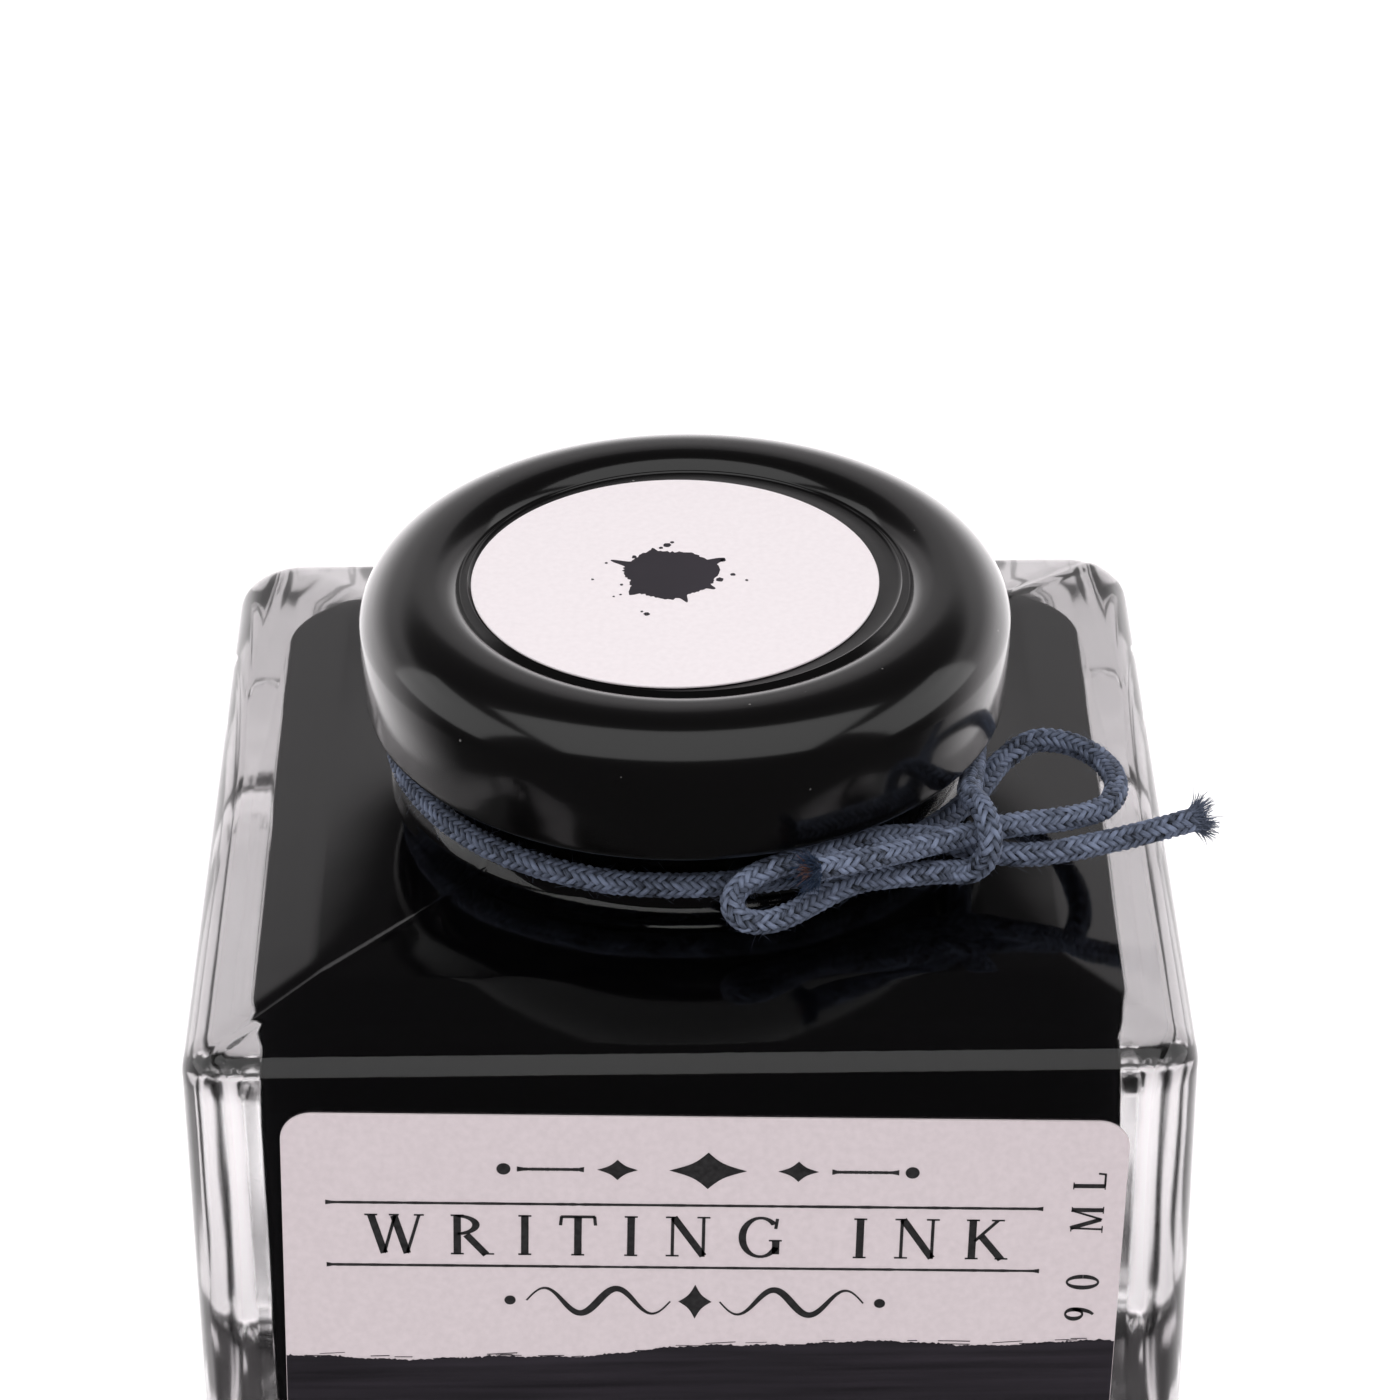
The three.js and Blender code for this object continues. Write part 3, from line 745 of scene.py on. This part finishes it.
# ---------------------------------------------------------------- lid gasket
# A ring of soft sealing compound flowed into the raised ring of the lid, with the groove that
# the glass rim has pressed into it.
gasket_profile = np.vstack([
    [[14.95, 61.95], [14.95, 61.4]],
    profile_arc(15.2, 61.45, 0.22, 0.2, 180, 270, 5),
    [[15.5, 61.29], [16.2, 61.32], [16.9, 61.29]],
    profile_arc(17.3, 61.5, 0.28, 0.25, 270, 360, 5),
    [[17.5, 61.8], [17.2, 61.97], [15.2, 61.97], [14.95, 61.95]],
])
gasket_angle = np.radians(np.arange(0, 360, 3))
rows, columns = len(gasket_profile) - 1, len(gasket_angle)
reach, height = spun(gasket_profile[:-1], columns)
gasket_points = rings_of_points(reach, height, gasket_angle)
gasket_faces = skin(rows + 1, columns) % (rows * columns)
lid_gasket = build_mesh("lid_gasket_ring", gasket_points, gasket_faces)


def plain_finish(name, dark, light, rough, scale, bump_size):
    """A material whose colour wanders between two tones and whose surface has a fine grain of
    the given scale, in grains a metre."""
    made, shader = new_finish(name, {"Roughness": rough})
    place = add_node(made, "ShaderNodeTexCoord")
    grain = add_node(made, "ShaderNodeTexNoise", {"Scale": scale, "Detail": 6.0},
                     [(place, "Object", "Vector")])
    two_tones(made, shader, grain, "Fac", 0.3, dark, 0.7, light)
    raise_by(made, shader, grain, 0.5, bump_size)
    return made


lid_gasket.data.materials.append(plain_finish(
    "sealing_compound", (0.62, 0.58, 0.50), (0.70, 0.66, 0.58), 0.45, 900.0, 0.00002))
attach(lid_gasket, "seal")
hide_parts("lid_gasket")


# ---------------------------------------------------------------- lid label
# A round sticker of off-white uncoated paper, die cut and laid by hand a little off the middle
# of the sunk panel.
STICKER_RADIUS = 12.7
STICKER_X = -0.6
STICKER_Y = -0.4
STICKER_Z = PANEL_Z + 0.03
PAPER = 0.15


def paper_disc(radius, centre_x, centre_y, z, thickness, columns=160):
    """A disc with a slightly rounded upper edge, as rings round its own centre."""
    profile = np.array([
        [0.3, z], [radius - 0.04, z], [radius, z + 0.03], [radius, z + thickness - 0.04],
        [radius - 0.04, z + thickness], [radius * 0.6, z + thickness], [0.3, z + thickness],
    ])
    a = 2 * np.pi * np.arange(columns) / columns
    reach, height = spun(profile, columns)
    points, faces = closed_sweep(reach, height, a)
    return points + np.array([centre_x, centre_y, 0]), faces


sticker_top = STICKER_Z + PAPER
sticker_points, sticker_faces = paper_disc(STICKER_RADIUS, STICKER_X, STICKER_Y, STICKER_Z, PAPER)
lid_label = build_mesh("lid_label_paper", sticker_points, sticker_faces, smooth=False)
lid_label.data.materials.append(plain_finish(
    "sticker_paper", (0.885, 0.815, 0.84), (0.93, 0.86, 0.885), 0.85, 2600.0, 0.00001))
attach(lid_label, "lid")
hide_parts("lid_label")


# ---------------------------------------------------------------- front label
# A rounded rectangle of white uncoated paper, stuck on the front face a degree and a half out of
# level, with black rules and letters and a broad band of the ink brushed across its lower half.
LABEL_WIDTH = 50.5
LABEL_HEIGHT = 38.0
LABEL_CORNER = 1.9
LABEL_X = 0.4
LABEL_TOP = 42.75
LABEL_TILT_DEG = 1.5
LABEL_BACK_Y = -30.43


def on_label(across, above, out):
    """Places label coordinates, from its own centre, on the tilted label; out is the distance
    from the back of the paper."""
    tilt = np.radians(LABEL_TILT_DEG)
    x = LABEL_X + across * np.cos(tilt) + above * np.sin(tilt)
    z = LABEL_TOP - LABEL_HEIGHT / 2 - across * np.sin(tilt) + above * np.cos(tilt)
    return np.column_stack([x, np.full(np.shape(x), LABEL_BACK_Y) - out, z])


def rounded_outline(half_x, half_y, corner, per_corner=14):
    """Corner arcs of a rounded rectangle, anticlockwise, starting at the right."""
    out = []
    for k, (sx, sy) in enumerate([(1, 1), (-1, 1), (-1, -1), (1, -1)]):
        a = np.radians(np.linspace(90 * k, 90 * k + 90, per_corner))
        out.append(np.column_stack([
            sx * (half_x - corner) + corner * np.cos(a),
            sy * (half_y - corner) + corner * np.sin(a),
        ]))
    return np.vstack(out)


def paper_sheet(outline, thickness, edge=0.03):
    """Back, edge and front rings of a flat sheet with a softened front edge."""
    shrunk = outline * (1 - edge / np.abs(outline).max(axis=0))
    rings = [on_label(outline[:, 0], outline[:, 1], 0.0),
             on_label(outline[:, 0], outline[:, 1], thickness - edge),
             on_label(shrunk[:, 0], shrunk[:, 1], thickness)]
    n = len(outline)
    faces = skin(3, n).tolist()
    faces.append(list(range(n))[::-1])
    faces.append(list(range(2 * n, 3 * n)))
    return np.vstack(rings), faces


label_points, label_faces = paper_sheet(
    rounded_outline(LABEL_WIDTH / 2, LABEL_HEIGHT / 2, LABEL_CORNER), PAPER)
front_label = build_mesh("front_label_paper", label_points, label_faces, smooth=False)
# Painted shade: the paper is given a greyer colour than the sticker's paper, standing in for the lesser
# light that falls on this upright face.
front_label.data.materials.append(plain_finish(
    "label_paper", (0.600, 0.527, 0.550), (0.650, 0.573, 0.597), 0.85, 2200.0, 0.00001))
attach(front_label, "bottle")
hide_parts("front_label")


# The printing: flat shapes of black ink a fiftieth of a millimetre thick, all of them strokes
# between straight or curved edges. Capitals have thick and thin strokes and fine feet.
INK_FILM = 0.02
FILM_CLEARANCE = 0.002
THICK = 0.15
THIN = 0.065


def bar(x0, y0, x1, y1, width):
    """A straight stroke of even width between two points."""
    along = np.array([x1 - x0, y1 - y0])
    across = np.array([-along[1], along[0]]) / np.linalg.norm(along) * width / 2
    ends = np.array([[x0, y0], [x1, y1]])
    return np.vstack([ends[0] - across, ends[1] - across, ends[1] + across, ends[0] + across])


def bowl(x, y, reach_x, reach_y, start, end, thick=THICK, thin=THIN):
    """A curved stroke between two ellipse arcs: thick where it runs upright, thin where level."""
    a = np.radians(np.linspace(start, end, 28))
    outer = np.column_stack([x + reach_x * np.cos(a), y + reach_y * np.sin(a)])
    inner = np.column_stack([x + (reach_x - thick) * np.cos(a), y + (reach_y - thin) * np.sin(a)])
    return np.vstack([outer, inner[::-1]])


def foot(x, y, half=0.13):
    """The fine level line that ends a stroke."""
    return bar(x - half, y, x + half, y, 0.035)


def stem(x, width=THICK):
    """A full-height upright with its two feet."""
    return [bar(x, 0, x, 1, width), foot(x, 0.018), foot(x, 0.982)]


capitals = {
    "G": (0.92, [bowl(0.50, 0.5, 0.44, 0.52, 42, 330), bar(0.80, 0.72, 0.83, 0.97, THIN),
                 bar(0.81, 0.08, 0.81, 0.42, THICK), foot(0.80, 0.42)]),
    "I": (0.38, stem(0.19)),
    "K": (0.86, [*stem(0.16), bar(0.20, 0.45, 0.66, 0.98, THIN), bar(0.34, 0.58, 0.76, 0.0, THICK),
                 foot(0.66, 0.982), foot(0.76, 0.018)]),
    "L": (0.70, [*stem(0.16), bar(0.16, 0.025, 0.62, 0.025, THIN), bar(0.61, 0.0, 0.64, 0.24, THIN)]),
    "M": (1.06, [bar(0.14, 0.0, 0.18, 1.0, THIN), bar(0.18, 1.0, 0.52, 0.08, THICK),
                 bar(0.52, 0.04, 0.86, 1.0, THIN), bar(0.88, 0.0, 0.88, 1.0, THICK),
                 foot(0.14, 0.018), foot(0.88, 0.018), foot(0.14, 0.982, 0.09), foot(0.90, 0.982, 0.09)]),
    "N": (0.94, [bar(0.16, 0.0, 0.16, 1.0, THIN), bar(0.18, 0.98, 0.78, 0.02, THICK),
                 bar(0.78, 0.0, 0.78, 1.0, THIN), foot(0.16, 0.018), foot(0.12, 0.982, 0.1),
                 foot(0.78, 0.982)]),
    "R": (0.84, [*stem(0.16), bowl(0.16, 0.745, 0.45, 0.255, -90, 90),
                 bar(0.34, 0.50, 0.74, 0.0, THICK), foot(0.77, 0.018)]),
    "T": (0.78, [bar(0.39, 0.0, 0.39, 0.97, THICK), bar(0.05, 0.972, 0.73, 0.972, THIN),
                 bar(0.06, 0.98, 0.04, 0.76, THIN), bar(0.72, 0.98, 0.74, 0.76, THIN),
                 foot(0.39, 0.018)]),
    "W": (1.20, [bar(0.12, 0.98, 0.38, 0.02, THICK), bar(0.38, 0.02, 0.60, 0.96, THIN),
                 bar(0.58, 0.96, 0.84, 0.02, THICK), bar(0.84, 0.02, 1.08, 0.98, THIN),
                 foot(0.12, 0.982), foot(0.58, 0.982, 0.1), foot(1.08, 0.982, 0.1)]),
    "9": (0.66, [bowl(0.32, 0.70, 0.26, 0.30, 0, 359), bowl(0.16, 0.62, 0.42, 0.62, -62, 12)]),
    "0": (0.68, [bowl(0.34, 0.50, 0.29, 0.52, 0, 359)]),
    " ": (0.42, []),
}


def lettering(words, height, width, centre_x, base_y, upright=True):
    """Strokes of a line of capitals, spaced out evenly to fill a width. A line that is not
    upright reads from the bottom to the top."""
    advance = np.array([capitals[letter][0] for letter in words]) * height
    gap = (width - advance.sum()) / (len(words) - 1)
    strokes = []
    x = -width / 2
    for letter, step in zip(words, advance):
        for shape in capitals[letter][1]:
            shape = shape * height + [x, 0]
            if upright:
                strokes.append(shape + [centre_x, base_y])
            else:
                strokes.append(np.column_stack([-shape[:, 1] + centre_x, shape[:, 0] + base_y]))
        x += step + gap
    return strokes


def lozenge(x, y, half_x, half_y):
    """A diamond with hollowed sides: the four points joined by arcs that bend inwards."""
    t = np.linspace(0, 1, 9)[:-1]
    corners = np.array([[1, 0], [0, 1], [-1, 0], [0, -1], [1, 0]])
    sides = []
    for k in range(4):
        straight = corners[k] * (1 - t)[:, None] + corners[k + 1] * t[:, None]
        sides.append(straight * (1 - 0.8 * t * (1 - t))[:, None])
    return np.vstack(sides) * [half_x, half_y] + [x, y]


def dot(x, y, radius, wobble=0.0, count=20):
    """A round spot whose edge may waver."""
    a = 2 * np.pi * np.arange(count) / count
    r = radius * (1 + wobble * rng.normal(size=count))
    return np.column_stack([x + r * np.cos(a), y + r * np.sin(a)])


def rule(x0, x1, y, width):
    """A printed line whose edges waver a little and whose ends are swollen with ink."""
    x = np.linspace(x0, x1, 120)
    end = np.exp(-(np.minimum(x - x0, x1 - x) / 0.25) ** 2)
    half = width / 2 * (1 + 0.10 * rng.normal(size=len(x)) + 0.8 * end)
    return np.vstack([np.column_stack([x, y - half]), np.column_stack([x, y + half])[::-1]])


def flourish(x0, x1, y, rise):
    """A pen stroke along two periods of a sine wave, fine at its ends and full in the middle."""
    t = np.linspace(0, 1, 70)
    wave = y + rise * np.sin(4 * np.pi * t)
    half = 0.05 + 0.19 * np.sin(np.pi * t) ** 2
    x = x0 + (x1 - x0) * t
    slope = np.column_stack([np.gradient(x), np.gradient(wave)])
    across = np.column_stack([-slope[:, 1], slope[:, 0]]) / np.linalg.norm(slope, axis=1)[:, None]
    centre = np.column_stack([x, wave])
    return np.vstack([centre - across * half[:, None], (centre + across * half[:, None])[::-1]])


def film(name, outlines, place):
    """One mesh of thin closed slabs, one for each flat outline; place turns flat coordinates and
    a height above the paper into points."""
    points, faces, count = [], [], 0
    for outline in outlines:
        following = np.roll(outline, -1, axis=0)
        area = (outline[:, 0] * following[:, 1] - following[:, 0] * outline[:, 1]).sum()
        outline = outline if area > 0 else outline[::-1]
        n = len(outline)
        points += [place(outline, 0.0), place(outline, INK_FILM)]
        faces += (skin(2, n) + count).tolist()
        faces += [list(range(count, count + n))[::-1], list(range(count + n, count + 2 * n))]
        count += 2 * n
    return build_mesh(name, np.vstack(points), faces, smooth=False)


def on_front_paper(flat, lift):
    """Flat coordinates from the label's centre, on its paper."""
    return on_label(flat[:, 0], flat[:, 1], PAPER + FILM_CLEARANCE + lift)


RULE_LEFT = -22.65
RULE_RIGHT = 20.35
ORNAMENT_Y = 15.1
FLOURISH_Y = 5.2
print_shapes = [
    rule(RULE_LEFT, RULE_RIGHT, 12.5, 0.17),
    rule(RULE_LEFT, RULE_RIGHT, 7.8, 0.17),
    lozenge(0.2, ORNAMENT_Y, 2.3, 1.35),
    lozenge(-5.2, ORNAMENT_Y, 1.2, 0.75),
    lozenge(5.6, ORNAMENT_Y, 1.2, 0.75),
    rule(-11.2, -7.2, ORNAMENT_Y, 0.2),
    rule(7.6, 11.6, ORNAMENT_Y, 0.2),
    dot(-12.0, ORNAMENT_Y, 0.42),
    dot(12.4, ORNAMENT_Y, 0.42),
    *lettering("WRITING INK", 3.0, 38.6, -1.0, 8.65),
    flourish(-10.6, -1.9, FLOURISH_Y, 0.95),
    flourish(9.8, 1.1, FLOURISH_Y, 0.95),
    lozenge(-0.4, FLOURISH_Y, 1.0, 1.3),
    dot(-11.6, FLOURISH_Y, 0.34),
    dot(10.8, FLOURISH_Y, 0.34),
    *lettering("90 ML", 1.95, 11.4, 24.0, 9.6, upright=False),
]
label_print = film("front_label_print", print_shapes, on_front_paper)
print_black = plain_finish(
    "printing_ink", (0.012, 0.011, 0.012), (0.030, 0.028, 0.030), 0.6, 3000.0, 0.000004)
label_print.data.materials.append(print_black)

# The ink itself, brushed across the label in one broad stroke: its upper edge waves, its lower
# edge breaks up where the brush ran dry, and hairs of the brush have left fine lines.
BAND_COLUMNS = 420
BAND_HALF = 25.22
BAND_TOP_LEFT = 0.4
BAND_TOP_RISE = 2.3
BAND_LOW = -13.9
across = np.linspace(-BAND_HALF, BAND_HALF, BAND_COLUMNS)
slow = (0.28 * np.sin(across * 0.19 + 0.6) + 0.13 * np.sin(across * 0.53 + 2.0)
        + 0.05 * np.sin(across * 1.9))
band_top = BAND_TOP_LEFT + (across + BAND_HALF) / (2 * BAND_HALF) * BAND_TOP_RISE + slow
band_top = band_top + 0.035 * rng.normal(size=BAND_COLUMNS)
ragged = np.interp(np.arange(BAND_COLUMNS), np.arange(0, BAND_COLUMNS + 6, 6),
                   rng.normal(0, 0.35, BAND_COLUMNS // 6 + 1))
band_low = BAND_LOW + 0.3 * np.sin(across * 0.23) + ragged + 0.08 * rng.normal(size=BAND_COLUMNS)
band = np.vstack([np.column_stack([across, band_low]), np.column_stack([across, band_top])[::-1]])
brush_lines = []
for _ in range(26):
    x = rng.uniform(-24.5, 23.5)
    long = rng.uniform(0.4, 2.2)
    y = np.interp(x, across, band_top) + rng.uniform(0.02, 0.22)
    brush_lines.append(bar(x, y, x + long, y + long * rng.uniform(-0.02, 0.09), rng.uniform(0.02, 0.05)))
for _ in range(60):
    x = rng.uniform(-24.8, 24.0)
    y = np.interp(x, across, band_low) - rng.uniform(0.05, 1.0)
    brush_lines.append(bar(x, y, x + rng.uniform(0.3, 1.2), y + rng.uniform(-0.05, 0.05),
                           rng.uniform(0.02, 0.09)))
brushed_band = film("front_label_brushed_ink", [band, *brush_lines], on_front_paper)


def brushed_ink_finish():
    """Dried ink, purple-black, thinner and browner along the strokes of the brush."""
    made, shader = new_finish("brushed_ink", {"Roughness": 0.62})
    place = add_node(made, "ShaderNodeTexCoord")
    stretch = add_node(made, "ShaderNodeMapping", {"Scale": (60.0, 60.0, 1500.0)},
                       [(place, "Object", "Vector")])
    streaks = add_node(made, "ShaderNodeTexNoise", {"Scale": 1.0, "Detail": 5.0},
                       [(stretch, "Vector", "Vector")])
    two_tones(made, shader, streaks, "Fac", 0.32, (0.0105, 0.0078, 0.0125),
              0.72, (0.026, 0.0195, 0.030))
    return made


brushed_ink = brushed_ink_finish()
brushed_band.data.materials.append(brushed_ink)
for piece in (label_print, brushed_band):
    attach(piece, "bottle")

# A round blot of the same ink on the lid's sticker: a wavy edge, a few short splashes thrown
# outwards, and specks round about.
BLOT_RADIUS = 2.9
BLOT_X = STICKER_X - 0.3
BLOT_Y = STICKER_Y + 0.7
SPECK_COUNT = 16
around = 2 * np.pi * np.arange(360) / 360
edge = BLOT_RADIUS * (1 + 0.05 * np.sin(3 * around + 0.8) + 0.035 * np.sin(7 * around)
                      + np.interp(np.arange(360), np.arange(0, 363, 3), rng.normal(0, 0.022, 121)))
for heading, reach_out, narrow in ((0.5, 0.9, 0.09), (1.9, 0.5, 0.06), (2.7, 1.1, 0.07),
                                   (3.9, 0.6, 0.10), (5.0, 0.8, 0.06), (5.7, 0.4, 0.08)):
    apart = (around - heading + np.pi) % (2 * np.pi) - np.pi
    edge = edge + reach_out * np.exp(-(apart / narrow) ** 2)
blot = np.column_stack([edge * np.cos(around), edge * np.sin(around)])
speck_angle = rng.uniform(0, 2 * np.pi, SPECK_COUNT)
speck_far = rng.uniform(3.1, 5.4, SPECK_COUNT)
specks = [dot(far * np.cos(a), far * np.sin(a), rng.uniform(0.06, 0.24), 0.12, 12)
          for far, a in zip(speck_far, speck_angle)]


def on_sticker(flat, lift):
    """Flat coordinates from the blot's centre, on the sticker's paper."""
    return np.column_stack([
        flat[:, 0] + BLOT_X,
        flat[:, 1] + BLOT_Y,
        np.full(len(flat), sticker_top + FILM_CLEARANCE + lift),
    ])


ink_blot = film("lid_label_ink_blot", [blot, *specks], on_sticker)
ink_blot.data.materials.append(brushed_ink)
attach(ink_blot, "lid")


# ---------------------------------------------------------------- floor and light
# A plain pale floor, a broad dim soft box overhead and a soft panel on each side, in a room that
# is pale behind the bottle and dark elsewhere. Two more boxes light the paper and the cord but
# show in no reflection, and neither does the floor, so the lacquer stays black.
FLOOR_HALF = 2500.0
FLOOR_Z = -0.05
BACKDROP_STRENGTH = 0.62
ROOM_STRENGTH = 0.06


def studio_floor():
    """Matt pale paper that glows a little, so that it has no dark far edge."""
    return new_finish("studio_floor", {
        "Base Color": (0.93, 0.92, 0.925, 1), "Roughness": 0.9,
        "Emission Color": (1.0, 0.985, 0.99, 1), "Emission Strength": 0.5,
    })[0]


def soft_box(name, place, toward, width, depth, watts):
    """A rectangular area light at a place, facing a point."""
    data = bpy.data.lights.new(name, "AREA")
    data.shape = "RECTANGLE"
    data.size = width
    data.size_y = depth
    data.energy = watts
    lamp = bpy.data.objects.new(name, data)
    bpy.context.scene.collection.objects.link(lamp)
    away = np.array(place, float) - np.array(toward, float)
    away /= np.linalg.norm(away)
    helper = np.array([0, 1, 0]) if abs(away[2]) > 0.95 else np.array([0, 0, 1])
    x_axis = np.cross(helper, away)
    x_axis /= np.linalg.norm(x_axis)
    stand_at(lamp, x_axis, np.cross(away, x_axis), away, place)
    return lamp


floor_corners = [(x * FLOOR_HALF, y * FLOOR_HALF, FLOOR_Z)
                 for x, y in ((-1, -1), (1, -1), (1, 1), (-1, 1))]
floor = build_mesh("studio_floor", floor_corners, [[0, 1, 2, 3]], smooth=False)
floor.data.materials.append(studio_floor())
floor.visible_glossy = False

soft_box("overhead_box", (0.0, -0.17, 0.50), (0, 0, 0.04), 0.80, 0.52, 1.6)
soft_box("left_panel", (-0.66, 0.02, 0.36), (0, 0, 0.05), 0.60, 0.50, 1.1)
soft_box("right_panel", (0.66, 0.02, 0.36), (0, 0, 0.05), 0.60, 0.50, 1.1)
front_fill = soft_box("front_fill", (0.0, -0.75, 0.34), (0, 0, 0.03), 0.6, 0.5, 1.2)
top_fill = soft_box("top_fill", (0.0, -0.10, 0.90), (0, 0, 0.06), 0.5, 0.5, 1.9)
for fill in (front_fill, top_fill):
    fill.visible_glossy = False
    fill.visible_transmission = False


def studio_surround():
    """A pale backdrop behind the bottle, brightest near the floor and fading out above about
    thirty degrees, into a dark room overhead and towards the front."""
    made = bpy.data.worlds.new("studio")
    made.use_nodes = True
    background = made.node_tree.nodes["Background"]
    set_inputs(background, {"Color": (1.0, 0.97, 0.985, 1)})
    aim = add_node(made, "ShaderNodeTexCoord")
    parts = add_node(made, "ShaderNodeSeparateXYZ", feeds=[(aim, "Generated", "Vector")])
    rise = add_node(made, "ShaderNodeMapRange", {
        "From Min": 0.47, "From Max": 0.58, "To Min": 1.0, "To Max": 0.0,
    }, [(parts, "Z", "Value")])
    back = add_node(made, "ShaderNodeMapRange", {"From Min": -0.1, "From Max": 0.7},
                    [(parts, "Y", "Value")])
    for eased_range in (rise, back):
        eased_range.interpolation_type = "SMOOTHSTEP"
    above = add_node(made, "ShaderNodeMapRange", {
        "From Min": 0.0, "From Max": 0.35, "To Min": 3.0, "To Max": 1.0,
    }, [(parts, "Z", "Value")])
    both = add_node(made, "ShaderNodeMath", feeds=[(rise, "Result", 0), (back, "Result", 1)],
                    operation="MULTIPLY")
    lit = add_node(made, "ShaderNodeMath", feeds=[(both, "Value", 0), (above, "Result", 1)],
                   operation="MULTIPLY")
    level = add_node(made, "ShaderNodeMath", {1: BACKDROP_STRENGTH, 2: ROOM_STRENGTH},
                     [(lit, "Value", 0)], "MULTIPLY_ADD")
    join(made, level, "Value", background, "Strength")
    return made


bpy.context.scene.world = studio_surround()
bpy.context.scene.view_settings.view_transform = "Standard"

bpy.context.view_layer.update()
